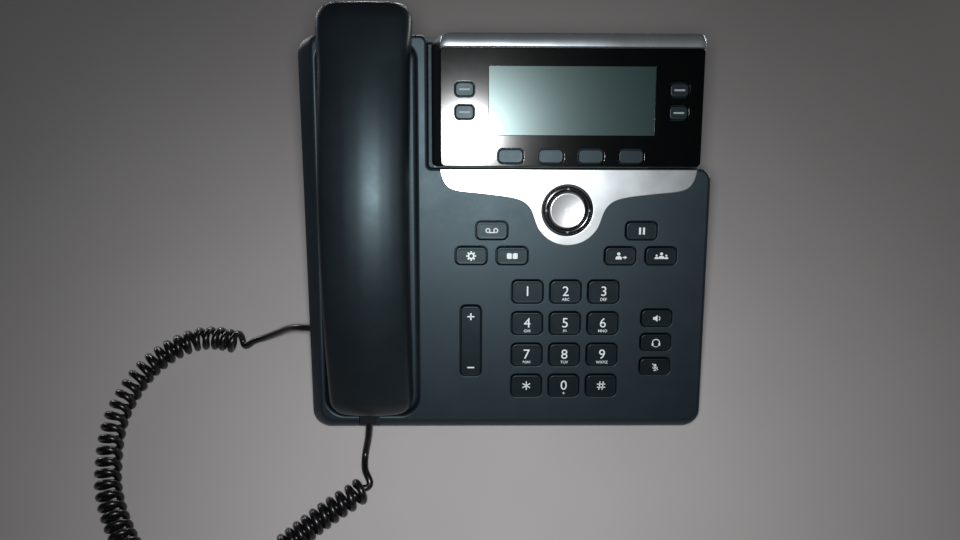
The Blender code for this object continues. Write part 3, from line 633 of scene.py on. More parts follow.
ROCKER = (-18.9, 48.7, 10.5, 37.5, 2.6)
HOLE = 0.4


def pillow(points, w0, w1, r, steps=3, seg=6):
    """A block with both its faces rolled over at the edge."""
    top = round_edge(points, w1, r, steps, seg)
    return stack([(p, w0 + (w1 - z)) for p, z in reversed(top)] + top)


def well(pts, w0, face, lip, top, seg=6, steps=3):
    """Cutter for an opening whose rim is rolled over at the face."""
    layers = [(rounded(pts, seg), w0)]
    for k in range(steps + 1):
        a = math.pi / 2 * k / steps
        layers.append((rounded(inset_poly(pts, -lip * (1 - math.cos(a))), seg), face - lip + lip * math.sin(a)))
    layers[-1] = (layers[-1][0], face + 0.001)
    layers.append((layers[-1][0], top))
    return stack(layers)


def ring_well(cu, cv, r, w0, face, lip, top, n=96, steps=3):
    layers = [(circle(cu, cv, r, n), w0)]
    for k in range(steps + 1):
        a = math.pi / 2 * k / steps
        layers.append((circle(cu, cv, r + lip * (1 - math.cos(a)), n), face - lip + lip * math.sin(a)))
    layers[-1] = (layers[-1][0], face + 0.001)
    layers.append((layers[-1][0], top))
    return stack(layers)


front_pts = [(-hw, 0, 9), (hw, 0, 9), (hw, PANEL_TOP, 6), (CRADLE_R, PANEL_TOP, 1.5),
             (CRADLE_R, BODY_H, 4), (-hw - FLARE, BODY_H, 9)]


def front_layer(w):
    """Outline of the shell at height w: a sloped flank on the left, a wide roll along the foot."""
    def roll(width, depth):
        if w <= -depth:
            return 0.0
        return width * (1 - math.sqrt(max(0.0, 1 - ((w + depth) / depth) ** 2)))
    o, foot = roll(2.0, 2.0), roll(6.2, 8.4)
    # slope with a small rounding at its upper and lower edges
    t = max(0.0, min(1.0, (w + 6.4) / 6.4))
    slope = t ** 1.15
    low, high = 5.4 * slope, (5.4 + FLARE) * slope
    edge = 0.8 * max(0.0, (w + 0.55) / 0.55) ** 2
    low, high = low + edge, high + edge
    return rounded([(-hw + low, foot, 9 - 0.5 * foot), (hw - o, foot, 9 - 0.5 * foot),
                    (hw - o, PANEL_TOP - o, 6 - o), (CRADLE_R - o, PANEL_TOP - o, 1.5 + o),
                    (CRADLE_R - o, BODY_H - o, 4 - o), (-hw - FLARE + high, BODY_H - o, 9 - 0.5 * high)], 10)


layers = [(rounded(inset_poly(front_pts, 0.45), 10), PART_W), (rounded(front_pts, 10), PART_W + 0.5)]
layers += [(front_layer(w), w) for w in (-8.3, -7.8, -7.1, -6.4, -5.7, -5.0, -4.3, -3.6, -2.9, -2.3, -1.85, -1.4, -1.0, -0.65,
                                         -0.38, -0.2, -0.08, -0.02, 0.0)]
front = as_object("housing_front", stack(layers), M_SLATE, "base")
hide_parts("front_housing")
cut(front, [slab([(-99.0, 8.6, 5), (-43.6, 8.6, 5), (-43.6, 200.1, 5), (-99.0, 200.1, 5)], -10.0, -4.0)], 'UNION')
cut(front, [slab([(CRADLE_R + 0.4, 2.5, 5), (hw - 2.5, 2.5, 5), (hw - 2.5, PANEL_TOP - 2.5, 5),
                  (CRADLE_R + 0.4, PANEL_TOP - 2.5, 5)], PART_W - 1.5, -2.5)])
trough = [(TROUGH_L, 8, 10), (TROUGH_R, 8, 10), (TROUGH_R, 199, 8), (TROUGH_L, 199, 8)]
lay = []
for k in range(5):
    a = math.pi / 2 * k / 4
    lay.append((rounded(inset_poly(trough, 2.4 * (1 - math.sin(a))), 10), TROUGH_FLOOR + 2.4 * (1 - math.cos(a))))
for k in range(6):
    a = math.pi / 2 * k / 5
    lay.append((rounded(inset_poly(trough, -1.5 * (1 - math.cos(a))), 10), -1.5 + 1.5 * math.sin(a)))
lay[-1] = (lay[-1][0], 0.001)
lay.append((lay[-1][0], 3.0))
cut(front, [stack(lay)])
cut(front, [slab([(-78.0, -3.0, 1.5), (-67.0, -3.0, 1.5), (-67.0, 12.0, 1.5), (-78.0, 12.0, 1.5)], -4.5, 4.0)])
cut(front, [well(box_pts(u, v, w + 2 * HOLE, h + 2 * HOLE, r + HOLE), -4.0, 0.0, 0.45, 3.0)
            for (u, v, w, h, r) in list(KEYS.values()) + [ROCKER]]
    + [ring_well(NAV_U, NAV_V, NAV_R + 0.7, -4.0, 0.0, 0.3, 3.0)])
cut(front, [slab(box_pts(HS_U, HOOK_V, 8.0, 10.0, 1.5), -12.0, 0.0)])
front.data.shade_smooth()
front.data.set_sharp_from_angle(angle=math.radians(30))

# ---------------------------------------------------------- display housing
pod_pts = [(POD_L, PANEL_TOP + 0.5, 3), (POD_R, PANEL_TOP + 0.5, 3), (POD_R, BODY_H, 6), (POD_L, BODY_H, 6)]
pod_front = [(LENS_L - 0.3, PANEL_TOP + 0.8, 2.5), (LENS_R + 0.3, PANEL_TOP + 0.8, 2.5),
             (LENS_R + 0.3, BODY_H - 0.4, 5), (LENS_L - 0.3, BODY_H - 0.4, 5)]


def mix_pts(a, b, t):
    return [tuple(x + (y - x) * t for x, y in zip(p, q)) for p, q in zip(a, b)]


lay = [(rounded(inset_poly(pod_pts, 0.4), 8), PART_W), (rounded(pod_pts, 8), PART_W + 0.5), (rounded(pod_pts, 8), -2.6)]
for k in range(1, 8):
    t = k / 7
    lay.append((rounded(mix_pts(pod_pts, pod_front, smooth01(t) * 0.35 + t * 0.65), 8), -2.6 + (POD_FRONT - 0.8 + 2.6) * t))
for k in range(1, 4):
    a = math.pi / 2 * k / 3
    lay.append((rounded(inset_poly(pod_front, 0.7 * (1 - math.cos(a))), 8), POD_FRONT - 0.8 + 0.8 * math.sin(a)))
pod = as_object("display_frame", stack(lay), M_DARK, "base", angle=30)
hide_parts("display_housing")
cut(pod, [slab([(LENS_L + 2.6, LENS_B + 1.0, 3), (LENS_R - 2.6, LENS_B + 1.0, 3),
                (LENS_R - 2.6, LENS_T - 1.0, 3), (LENS_L + 2.6, LENS_T - 1.0, 3)], PART_W - 2, 12)])

# silver strip along the top of the display
TRIM_B = LENS_T + 0.4


def trim_section(k):
    """Rolled profile of the strip, (v, w), scaled about its foot by k."""
    pts = [(TRIM_B, 8.3), (TRIM_B, 10.45)]
    for i in range(5):
        a = math.pi / 2 * i / 4
        pts.append((TRIM_B + 0.45 - 0.45 * math.cos(a), 10.45 + 0.45 * math.sin(a)))
    pts += [(TRIM_B + 1.7, 10.90), (TRIM_B + 2.9, 10.81), (TRIM_B + 4.0, 10.58), (TRIM_B + 5.0, 10.16),
            (TRIM_B + 5.8, 9.62), (TRIM_B + 6.4, 9.1), (TRIM_B + 6.7, 8.7), (TRIM_B + 6.5, 8.45), (TRIM_B + 5.9, 8.3)]
    return [(TRIM_B + (v - TRIM_B) * k, 8.3 + (w - 8.3) * (0.55 + 0.45 * k)) for v, w in pts]


bm = bmesh.new()
cols = []
for i in range(9):
    a = math.pi / 2 * i / 8
    cols.append((LENS_L + 4.2 * (1 - math.sin(a)), 1 - 0.55 * (1 - math.cos(a)) if i else 1.0))
cols = sorted([(LENS_L + 4.2 * (1 - math.sin(math.pi / 2 * i / 8)), 1 - 0.62 * (1 - math.cos(math.pi / 2 * (i / 8))))
               for i in range(9)])
cols = [(u, k) for u, k in cols] + [(u, 1.0) for u in (0.0, 30.0, 60.0)]
cols += sorted([(LENS_R - 3.0 * (1 - math.sin(math.pi / 2 * i / 8)), 1 - 0.45 * (1 - math.cos(math.pi / 2 * (i / 8))))
                for i in range(9)])
rings = [[bm.verts.new((u, v, w)) for v, w in trim_section(k)] for u, k in cols]
bm.faces.new(rings[0])
bm.faces.new(list(reversed(rings[-1])))
for a, b in zip(rings, rings[1:]):
    for i in range(len(a)):
        j = (i + 1) % len(a)
        bm.faces.new((a[i], a[j], b[j], b[i]))
trim = as_object("display_top_strip", bm, M_TRIM, "base", angle=40)
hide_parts("display_trim")

# glossy front plate with its key openings and the screen window
lens_pts = [(LENS_L, LENS_B, 2.5), (LENS_R, LENS_B, 2.5), (LENS_R, LENS_T, 1.5), (LENS_L, LENS_T, 1.5)]
lens = as_object("display_front", stack([(rounded(lens_pts, 8), POD_FRONT + 0.3)]
                                        + round_edge(lens_pts, 10.2, 0.5, 4, 8)), M_GLOSS, "base", angle=30)
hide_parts("display_lens")
cut(lens, [well(box_pts(u, v, w + 2 * HOLE, h + 2 * HOLE, r + HOLE), 6.0, 10.2, 0.3, 12.0)
           for (u, v, w, h, r) in POD_KEYS.values()]
    + [well(box_pts(LCD_U, LCD_V, LCD_W, LCD_H, 0.5), 6.0, 10.2, 0.12, 12.0, 3)])
window = as_object("screen_window", stack([(rounded(box_pts(LCD_U, LCD_V, LCD_W - 0.08, LCD_H - 0.08, 0.46), 3), 8.6)]
                                          + round_edge(box_pts(LCD_U, LCD_V, LCD_W - 0.08, LCD_H - 0.08, 0.46), 10.12, 0.1, 2, 3)),
                   M_LCD, "base", angle=30)

# ------------------------------------------------------- silver nav surround
NAV_EDGE = ((0, 99.0), (6, 100.0), (10, 102.0), (13, 104.6), (15.2, 107.4), (16.4, 110.0),
            (17.5, 113.2), (19.0, 117.0), (21.2, 119.8), (24.1, 121.7), (29.2, 123.2),
            (44.4, 125.2), (57.0, 126.7), (61.0, 128.4), (63.4, 131.5), (64.6, 135.0), (65.0, 137.7))
BEZ_C = 30.4


def spline2(pts, per=5):
    """Centripetal curve through 2-D points."""
    P = [Vector((x, y, 0)) for x, y in pts]
    P = [P[0] * 2 - P[1]] + P + [P[-1] * 2 - P[-2]]
    out = []
    for i in range(1, len(P) - 2):
        p0, p1, p2, p3 = P[i - 1:i + 3]
        t0 = 0.0
        t1 = t0 + max(1e-4, (p1 - p0).length) ** 0.5
        t2 = t1 + max(1e-4, (p2 - p1).length) ** 0.5
        t3 = t2 + max(1e-4, (p3 - p2).length) ** 0.5
        for k in range(per):
            t = t1 + (t2 - t1) * k / per
            a1 = p0 * ((t1 - t) / (t1 - t0)) + p1 * ((t - t0) / (t1 - t0))
            a2 = p1 * ((t2 - t) / (t2 - t1)) + p2 * ((t - t1) / (t2 - t1))
            a3 = p2 * ((t3 - t) / (t3 - t2)) + p3 * ((t - t2) / (t3 - t2))
            b1 = a1 * ((t2 - t) / (t2 - t0)) + a2 * ((t - t0) / (t2 - t0))
            b2 = a2 * ((t3 - t) / (t3 - t1)) + a3 * ((t - t1) / (t3 - t1))
            c = b1 * ((t2 - t) / (t2 - t1)) + b2 * ((t - t1) / (t2 - t1))
            out.append((c.x, c.y))
    out.append((pts[-1][0], pts[-1][1]))
    return out


def inset_path(poly, d):
    """Inset of a fine closed outline, point by point along its normals."""
    out = []
    n = len(poly)
    for i in range(n):
        p, a, b = Vector(poly[i]), Vector(poly[i - 1]), Vector(poly[(i + 1) % n])
        e1, e2 = (p - a).normalized(), (b - p).normalized()
        n1, n2 = Vector((-e1.y, e1.x)), Vector((-e2.y, e2.x))
        q = p + (n1 + n2) * (d / max(0.5, 1 + n1.dot(n2)))
        out.append((q.x, q.y))
    return out


edge = spline2([(-NAV_EDGE[1][0], NAV_EDGE[1][1])] + list(NAV_EDGE), 6)
edge = [p for p in edge if p[0] > 0.01]
right = [(BEZ_C + x, v) for x, v in edge]
outline = [(BEZ_C, NAV_EDGE[0][1])] + right + [(BEZ_C * 2 - x, v) for x, v in reversed(right)]
lay = [(inset_path(outline, 0.15), 0.05), (outline, 0.35)]
for k in range(5):
    a = math.pi / 2 * k / 4
    lay.append((inset_path(outline, 0.45 * (1 - math.cos(a))), 0.85 + 0.45 * math.sin(a)))
bez = as_object("nav_surround", stack(lay), M_SILVER, "base", angle=30)
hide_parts("nav_bezel")
cut(bez, [ring_well(NAV_U, NAV_V, NAV_R + 0.7, -3.0, 1.3, 0.5, 6.0, 128, 4)])

# ring and select button
prof = [(9.55, -2.0), (12.15, -2.0), (12.2, -1.2), (12.2, 2.0)]
for k in range(1, 7):
    a = math.pi / 2 * k / 6
    prof.append((11.5 + 0.7 * math.cos(a), 2.0 + 0.7 * math.sin(a)))
prof += [(11.2, 2.78), (10.85, 2.80), (10.5, 2.76), (10.2, 2.66)]
for k in range(1, 5):
    a = math.pi / 2 * k / 4
    prof.append((10.0 - 0.45 * math.sin(a), 2.5 - 0.45 * (1 - math.cos(a))))
nav = as_object("nav_ring_cap", lathe_ring(NAV_U, NAV_V, prof, 128), M_RING, "nav_ring", angle=40)
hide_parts("nav_ring")
bm = bmesh.new()
for k in range(4):
    a0 = math.pi / 2 * k
    for w in (2.78, 2.86):
        pass
    tri = [(11.55, 0.0), (10.55, 0.85), (10.55, -0.85)]
    lo = [bm.verts.new((NAV_U + r * math.cos(a0) - s * math.sin(a0), NAV_V + r * math.sin(a0) + s * math.cos(a0), 2.70)) for r, s in tri]
    hi = [bm.verts.new((NAV_U + r * math.cos(a0) - s * math.sin(a0), NAV_V + r * math.sin(a0) + s * math.cos(a0), 2.84)) for r, s in tri]
    bm.faces.new(list(reversed(lo)))
    bm.faces.new(hi)
    for i in range(3):
        j = (i + 1) % 3
        bm.faces.new((lo[i], lo[j], hi[j], hi[i]))
arrows = as_object("nav_ring_marks", bm, M_LEGEND_DIM, "nav_ring")

lay = [(circle(NAV_U, NAV_V, 7.6, 96), -2.0), (circle(NAV_U, NAV_V, 9.0, 96), -1.9), (circle(NAV_U, NAV_V, 9.0, 96), 1.75)]
for k in range(1, 7):
    a = math.pi / 2 * k / 6
    lay.append((circle(NAV_U, NAV_V, 8.45 + 0.55 * math.cos(a), 96), 1.75 + 0.55 * math.sin(a)))
for r in (8.2, 7.4, 6.4, 5.2, 3.8, 2.2, 0.8):
    lay.append((circle(NAV_U, NAV_V, r, 96), 2.3 - 0.62 * (1 - (r / 8.45) ** 2)))
sel = as_object("select_cap", stack(lay), M_SELECT, "select_button", angle=45)
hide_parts("select_button")

# --------------------------------------------------------------------- keys
FLAT = 0.035


def glyph_bm(text, size, cu, cv, top, bold=0.0, squeeze=1.0):
    """Text turned into a thin closed mesh, centred on (cu, cv)."""
    c = bpy.data.curves.new("glyph", 'FONT')
    c.body = text
    c.size = 1.0
    c.extrude = 0.01
    c.offset = bold
    c.resolution_u = 5
    ob = bpy.data.objects.new("glyph", c)
    bpy.context.scene.collection.objects.link(ob)
    bpy.context.view_layer.update()
    dg = bpy.context.evaluated_depsgraph_get()
    me = bpy.data.meshes.new_from_object(ob.evaluated_get(dg), depsgraph=dg)
    bpy.data.objects.remove(ob, do_unlink=True)
    bpy.data.curves.remove(c)
    bm = bmesh.new()
    bm.from_mesh(me)
    bpy.data.meshes.remove(me)
    bmesh.ops.remove_doubles(bm, verts=bm.verts, dist=1e-5)
    xs = [v.co.x for v in bm.verts]
    ys = [v.co.y for v in bm.verts]
    mx, my = (min(xs) + max(xs)) / 2, (min(ys) + max(ys)) / 2
    k = size / (max(ys) - min(ys)) if text not in ("-",) else size
    for v in bm.verts:
        v.co.x = cu + (v.co.x - mx) * k * squeeze
        v.co.y = cv + (v.co.y - my) * k
        v.co.z = top + (FLAT if v.co.z > 0 else -0.06)
    return bm


def plate_bm(poly, top):
    return stack([(poly, top - 0.06), (poly, top + FLAT)])


def bar(cu, cv, w, h, top, ang=0.0):
    c, s = math.cos(ang), math.sin(ang)
    pts = [(-w / 2, -h / 2), (w / 2, -h / 2), (w / 2, h / 2), (-w / 2, h / 2)]
    return plate_bm([(cu + x * c - y * s, cv + x * s + y * c) for x, y in pts], top)


def disc(cu, cv, r, top, n=20):
    return plate_bm(circle(cu, cv, r, n), top)


def annulus(cu, cv, r0, r1, top, n=24, a0=0.0, a1=2 * math.pi):
    full = abs(a1 - a0) > 2 * math.pi - 1e-6
    bm = bmesh.new()
    m = n if full else n + 1
    rows = []
    for i in range(m):
        a = a0 + (a1 - a0) * i / n
        c, s = math.cos(a), math.sin(a)
        rows.append([bm.verts.new((cu + r * c, cv + r * s, w)) for r, w in
                     ((r0, top - 0.06), (r1, top - 0.06), (r1, top + FLAT), (r0, top + FLAT))])
    for i in range(n):
        a, b = rows[i], rows[(i + 1) % m]
        for k in range(4):
            j = (k + 1) % 4
            bm.faces.new((a[k], a[j], b[j], b[k]))
    if not full:
        bm.faces.new(rows[0])
        bm.faces.new(list(reversed(rows[-1])))
    return bm


def person(cu, cv, s, top):
    body = [(-0.9 * s, -1.0 * s), (0.9 * s, -1.0 * s)]
    for k in range(9):
        a = math.pi * k / 8
        body.append((0.9 * s * math.cos(a), -0.55 * s + 0.55 * s * math.sin(a)))
    return [disc(cu, cv + 0.62 * s, 0.48 * s, top, 16), plate_bm([(cu + x, cv + y) for x, y in body], top)]


def icon(nm, u, v, t):
    """Generic pictograms for the function keys."""
    if nm == "messages_key":
        return [annulus(u - 2.0, v + 0.1, 0.75, 1.25, t), annulus(u + 2.0, v + 0.1, 0.75, 1.25, t),
                bar(u, v - 0.93, 4.0, 0.5, t)]
    if nm == "settings_key":
        out = [annulus(u, v, 0.95, 1.75, t)]
        return out + [bar(u + 2.05 * math.cos(a), v + 2.05 * math.sin(a), 0.85, 0.8, t, a)
                      for a in [math.pi / 4 * k for k in range(8)]]
    if nm == "contacts_key":
        out = []
        for sgn in (-1, 1):
            pts = [(0.25, -1.25), (1.2, -1.55), (2.75, -1.25), (2.75, 1.35), (1.4, 1.55), (0.25, 1.15)]
            pts = [(u + sgn * x, v + y) for x, y in pts]
            out.append(plate_bm(pts if sgn > 0 else list(reversed(pts)), t))
        return out
    if nm == "hold_key":
        return [bar(u - 1.0, v, 1.0, 3.6, t), bar(u + 1.0, v, 1.0, 3.6, t)]
    if nm == "transfer_key":
        arrow = [(u + 1.1, v - 0.95), (u + 2.1, v - 0.95), (u + 2.1, v - 1.55), (u + 3.3, v - 0.65),
                 (u + 2.1, v + 0.25), (u + 2.1, v - 0.35), (u + 1.1, v - 0.35)]
        return person(u - 1.0, v + 0.1, 1.75, t) + [plate_bm(arrow, t)]
    if nm == "conference_key":
        return person(u, v + 0.25, 1.6, t) + person(u - 2.5, v - 0.3, 1.1, t) + person(u + 2.5, v - 0.3, 1.1, t)
    if nm == "speaker_key":
        cone = [(u - 2.0, v - 0.7), (u - 1.1, v - 0.7), (u + 0.3, v - 1.8), (u + 0.3, v + 1.8), (u - 1.1, v + 0.7),
                (u - 2.0, v + 0.7)]
        return [plate_bm(cone, t), annulus(u + 0.2, v, 1.1, 1.5, t, 12, -0.9, 0.9)]
    if nm == "headset_key":
        return [annulus(u, v - 0.1, 1.65, 2.1, t, 20, -0.15, math.pi + 0.15), bar(u - 1.75, v - 0.9, 0.9, 1.5, t),
                bar(u + 1.75, v - 0.9, 0.9, 1.5, t), annulus(u, v - 0.6, 1.5, 1.8, t, 12, math.pi * 1.25, math.pi * 1.75)]
    if nm == "mute_key":
        mic = []
        for k in range(9):
            a = math.pi * k / 8
            mic.append((u + 0.6 * math.cos(a), v + 0.9 + 0.6 * math.sin(a)))
        for k in range(9):
            a = math.pi + math.pi * k / 8
            mic.append((u + 0.6 * math.cos(a), v - 0.1 + 0.6 * math.sin(a)))
        return [plate_bm(mic, t), annulus(u, v, 1.05, 1.35, t, 14, math.pi, 2 * math.pi), bar(u, v - 1.6, 0.35, 0.7, t),
                bar(u, v - 2.0, 1.6, 0.32, t), bar(u + 0.1, v, 4.6, 0.4, t, -0.85)]
    return []


LETTERS = {"key_2": "ABC", "key_3": "DEF", "key_4": "GHI", "key_5": "JKL", "key_6": "MNO",
           "key_7": "PQRS", "key_8": "TUV", "key_9": "WXYZ", "key_0": "+"}


def cap_layers(u, v, w, h, r, bottom, top, dish=0.0, flange=0.7):
    """A key cap: straight sides, a rolled rim and a faintly dished top."""
    pts = box_pts(u, v, w, h, r)
    lay = [(rounded(inset_poly(pts, -flange), 6), bottom), (rounded(inset_poly(pts, -flange), 6), bottom + 0.9),
           (rounded(pts, 6), bottom + 0.95)]
    lay += round_edge(pts, top, 0.55, 5, 6)
    lay.append((rounded(inset_poly(pts, 1.0), 6), top - dish * 0.5))
    lay.append((rounded(inset_poly(pts, 1.7), 6), top - dish))
    return lay


def make_key(nm, u, v, w, h, r, bottom, top, legends, dish=0.05, mat=None, ink=None, flange=0.7):
    key = stack(cap_layers(u, v, w, h, r, bottom, top, dish, flange))
    nfaces = len(key.faces)
    if legends:
        bm = merge([key] + legends)
    else:
        bm = key
    bm.faces.ensure_lookup_table()
    for f in bm.faces[nfaces:]:
        f.material_index = 1
    ob = as_object(nm + "_cap", bm, [mat or M_KEY, ink or M_LEGEND], nm, angle=38)
    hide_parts(nm)
    return ob


for nm, (u, v, w, h, r) in KEYS.items():
    top, dish = 1.4, 0.05
    t = top - dish
    legends = []
    if nm.startswith("key_"):
        ch = {"key_star": "*", "key_hash": "#"}.get(nm, nm[-1])
        if nm == "key_star":
            legends.append(merge([bar(u, v + 0.3, 4.6, 0.55, t, math.pi / 6 + math.pi / 3 * k) for k in range(3)]))
        elif nm == "key_hash":
            legends += [merge([bar(u - 0.85, v + 0.3, 0.5, 4.6, t, -0.12), bar(u + 0.85, v + 0.3, 0.5, 4.6, t, -0.12),
                               bar(u, v + 1.1, 4.4, 0.5, t), bar(u, v - 0.6, 4.4, 0.5, t)])]
        else:
            legends.append(glyph_bm(ch, 5.0, u, v + 0.55, t, 0.0, 1.02))
        if nm in LETTERS:
            legends.append(glyph_bm(LETTERS[nm], 1.45 if nm != "key_0" else 1.3, u, v - 3.75, t, 0.008))
    else:
        legends = icon(nm, u, v, t)
    make_key(nm, u, v, w, h, r, -4.2, top, legends, dish)

for nm, (u, v, w, h, r) in POD_KEYS.items():
    legends = []
    if nm.startswith("line"):
        legends = [bar(u, v, 5.2, 0.8, 10.87)]
    make_key(nm, u, v, w, h, r, 6.9, 10.9, legends, 0.03, M_POD_KEY, M_LEGEND_DIM, 0.35)

ru, rv, rw, rh, rr = ROCKER
rp = box_pts(ru, rv, rw, rh, rr)
lay = [(rounded(inset_poly(rp, -0.7), 6), -4.7), (rounded(inset_poly(rp, -0.7), 6), -3.9), (rounded(rp, 6), -3.85)]
lay += round_edge(rp, 1.6, 0.7, 5, 6)
lay.append((rounded(inset_poly(rp, 1.6), 6), 1.5))
key = stack(lay)
n0 = len(key.faces)
bm = merge([key, bar(ru, rv + 13.2, 3.6, 0.7, 1.5), bar(ru, rv + 13.2, 0.7, 3.6, 1.5), bar(ru, rv - 14.0, 3.6, 0.7, 1.5)])
bm.faces.ensure_lookup_table()
for f in bm.faces[n0:]:
    f.material_index = 1
rock = as_object("volume_rocker_cap", bm, [M_KEY, M_LEGEND], "volume_rocker", angle=38)
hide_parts("volume_rocker")

# ------------------------------------------------------------------ handset
SEC = ((0.0, 0.0), (0.27, 0.36), (0.53, 1.4), (0.76, 2.9), (0.89, 4.2), (0.97, 6.4), (1.0, 9.0), (1.0, 12.0))
HEAD_SEC = ((0.0, 0.0), (0.30, 0.24), (0.58, 0.95), (0.80, 2.0), (0.915, 3.3), (0.98, 5.2), (1.0, 7.6), (1.0, 12.0))


def full_section(sec):
    half = spline2([(-sec[1][0], sec[1][1])] + list(sec), 5)
    half = half[6 if half[5][0] <= 1e-4 else 5:]
    return [(-x, d) for x, d in reversed(half)] + [(0.0, 0.0)] + half


SEC_BODY, SEC_HEAD = full_section(SEC), full_section(HEAD_SEC)
HS_WIDTH = ((HS_BOT, 21.0), (34.0, 21.0), (58.0, 21.1), (88.0, 21.35), (121.0, 21.5), (164.0, 21.5), (182.0, 21.6),
            (188.0, 21.75), (193.0, 22.0), (198.0, 22.45), (203.0, 22.8), (208.0, 22.9), (HS_TOP, 22.9))


def hs_line(v):
    return HS_PEAK_W - (v - CROWN_V) ** 2 / (2 * CROWN_R)


def part_line(v):
    return HS_PEAK_W - (v - HS_PEAK_V) ** 2 / (2 * HS_R) - 12.0 - 3.5 * smooth01((v - 185.0) / 25.0)


def hs_width(v):
    for (v0, h0), (v1, h1) in zip(HS_WIDTH, HS_WIDTH[1:]):
        if v <= v1:
            return h0 + (h1 - h0) * smooth01((v - v0) / (v1 - v0)) if abs(h1 - h0) > 0.35 else h0 + (h1 - h0) * (v - v0) / (v1 - v0)
    return HS_WIDTH[-1][1]


def hs_end(v):
    """Half width and crown fall towards the rounded ends."""
    t = 0.0
    if v > HS_TOP - 9:
        t = (v - (HS_TOP - 9)) / 9
    elif v < HS_BOT + 9:
        t = ((HS_BOT + 9) - v) / 9
    k = 1 - math.sqrt(max(0.0, 1 - min(1.0, t) ** 2))
    return hs_width(v) - 8.0 * k, (3.6 if v > 100 else 6.2) * k


def hs_ring(v, inset=0.0, grow=0.0, low=None):
    half, fall = hs_end(v)
    base = part_line(v) if low is None else low
    h = half - inset
    pts = []
    head = smooth01((v - 184.0) / 20.0)
    for (s0, d0), (s1, d1) in zip(SEC_BODY, SEC_HEAD):
        s, d = s0 + (s1 - s0) * head, d0 + (d1 - d0) * head
        w = hs_line(v) - fall - d * (1.0 - fall / 12.0) - inset
        pts.append((HS_U + h * s, max(w, base)))
    pts[0] = (HS_U - h, base)
    pts[-1] = (HS_U + h, base)
    return pts


def loft(sections):
    bm = bmesh.new()
    rings = [[bm.verts.new((u, v, w)) for u, w in sec] for v, sec in sections]
    bm.faces.new(rings[0])
    bm.faces.new(list(reversed(rings[-1])))
    for a, b in zip(rings, rings[1:]):
        n = len(a)
        for i in range(n):
            j = (i + 1) % n
            bm.faces.new((a[i], a[j], b[j], b[i]))
    return bm


def end_stations():
    vs = []
    for k in range(13):
        a = math.pi / 2 * k / 12
        vs.append(HS_BOT + 9 * (1 - math.sin(math.pi / 2 - a)) if False else HS_BOT + 9 * (1 - math.cos(a)))
    body = [HS_BOT + 9 + (HS_TOP - HS_BOT - 18) * k / 44 for k in range(1, 44)]
    tops = [HS_TOP - 9 * (1 - math.cos(math.pi / 2 * k / 12)) for k in range(12, -1, -1)]
    return vs + body + tops


ER = 0.9        # edge radius of the end faces
secs = []
allv = end_stations()
for v in allv:
    vv = min(max(v, HS_BOT), HS_TOP)
    d = min(vv - HS_BOT, HS_TOP - vv)
    inset = 0.0
    if d < ER:
        inset = ER * (1 - math.sqrt(max(0.0, 1 - ((ER - d) / ER) ** 2)))
    secs.append((vv, hs_ring(vv, inset)))
clean = [secs[0]]
for s in secs[1:]:
    if s[0] - clean[-1][0] > 0.02:
        clean.append(s)
outer = as_object("handset_top_shell", loft(clean), M_HANDSET, "handset", angle=30)
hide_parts("handset_outer_shell")
inner_secs = [(v, hs_ring(v, 2.3, 0.0, part_line(v) - 6.0)) for v in allv if HS_BOT + 4.0 < v < HS_TOP - 4.0]
inner_secs = [s for i, s in enumerate(inner_secs) if i % 2 == 0 or i == len(inner_secs) - 1]
cut(outer, [loft(inner_secs)])
cut(outer, [slab([(HS_U - 14.6, HS_TOP - 4.4, 0.6), (HS_U + 14.6, HS_TOP - 4.4, 0.6),
                  (HS_U + 14.6, HS_TOP + 3.0, 0.6), (HS_U - 14.6, HS_TOP + 3.0, 0.6)], 9.2, 12.9)])
outer.data.shade_smooth()
outer.data.set_sharp_from_angle(angle=math.radians(30))

UNDER = ((HS_BOT, -2.0), (HS_BOT + 4.6, -4.8), (HS_BOT + 9, -6.7), (34, -6.9), (46, -6.9), (52, -5.0),
         (64, 4.0), (76, 8.6), (88, 12.0), (98, 13.5), (108, 14.0), (118, 13.6), (128, 12.2), (140, 8.4),
         (152, 3.2), (160, -4.0), (166, -6.7), (172, -6.9), (188, -6.9), (193, -5.0), (197, 0.9), (203, 1.5),
         (HS_TOP - 4, 2.4), (HS_TOP, 4.2))
under_line = spline2(UNDER, 3)
under_secs = []
for v, lo in under_line:
    half, _ = hs_end(v)
    half -= 0.12
    hi = part_line(v) - 0.3
    lo = max(lo, -6.9)
    t = hi - lo
    pts = []
    for k in range(9):
        a = math.pi / 2 * k / 8
        pts.append((half - 5.6 * (1 - math.cos(a)), hi - 0.30 * t - (0.70 * t) * math.sin(a)))
    pts = [(half, hi), (half, hi - 0.15 * t)] + pts + [(half - 9.0, lo)]
    ring = [(HS_U + x, w) for x, w in pts] + [(HS_U - x, w) for x, w in reversed(pts)]
    under_secs.append((v, ring))
clean = [under_secs[0]]
for s in under_secs[1:]:
    if s[0] - clean[-1][0] > 0.05:
        clean.append(s)
inner = as_object("handset_under_shell", loft(clean), M_HANDSET, "handset", angle=30)
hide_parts("handset_inner_shell")
cut(inner, [slab([(-86, 165.5, 6), (-54, 165.5, 6), (-54, 189, 6), (-86, 189, 6)], -4.6, 60),
            slab([(-86, 26, 6), (-54, 26, 6), (-54, 47, 6), (-86, 47, 6)], -4.6, 60),
            slab([(-84, 66, 4), (-56, 66, 4), (-56, 150, 4), (-84, 150, 4)], 16.5, 60),
            slab([(JACK_U - 4.1, HS_BOT - 4, 0.3), (JACK_U + 4.1, HS_BOT - 4, 0.3),
                  (JACK_U + 4.1, HS_BOT + 11.5, 0.3), (JACK_U - 4.1, HS_BOT + 11.5, 0.3)], JACK_W - 3.4, JACK_W + 3.4)])
holes = [circle(HS_U, 177.5, 0.9, 16)]
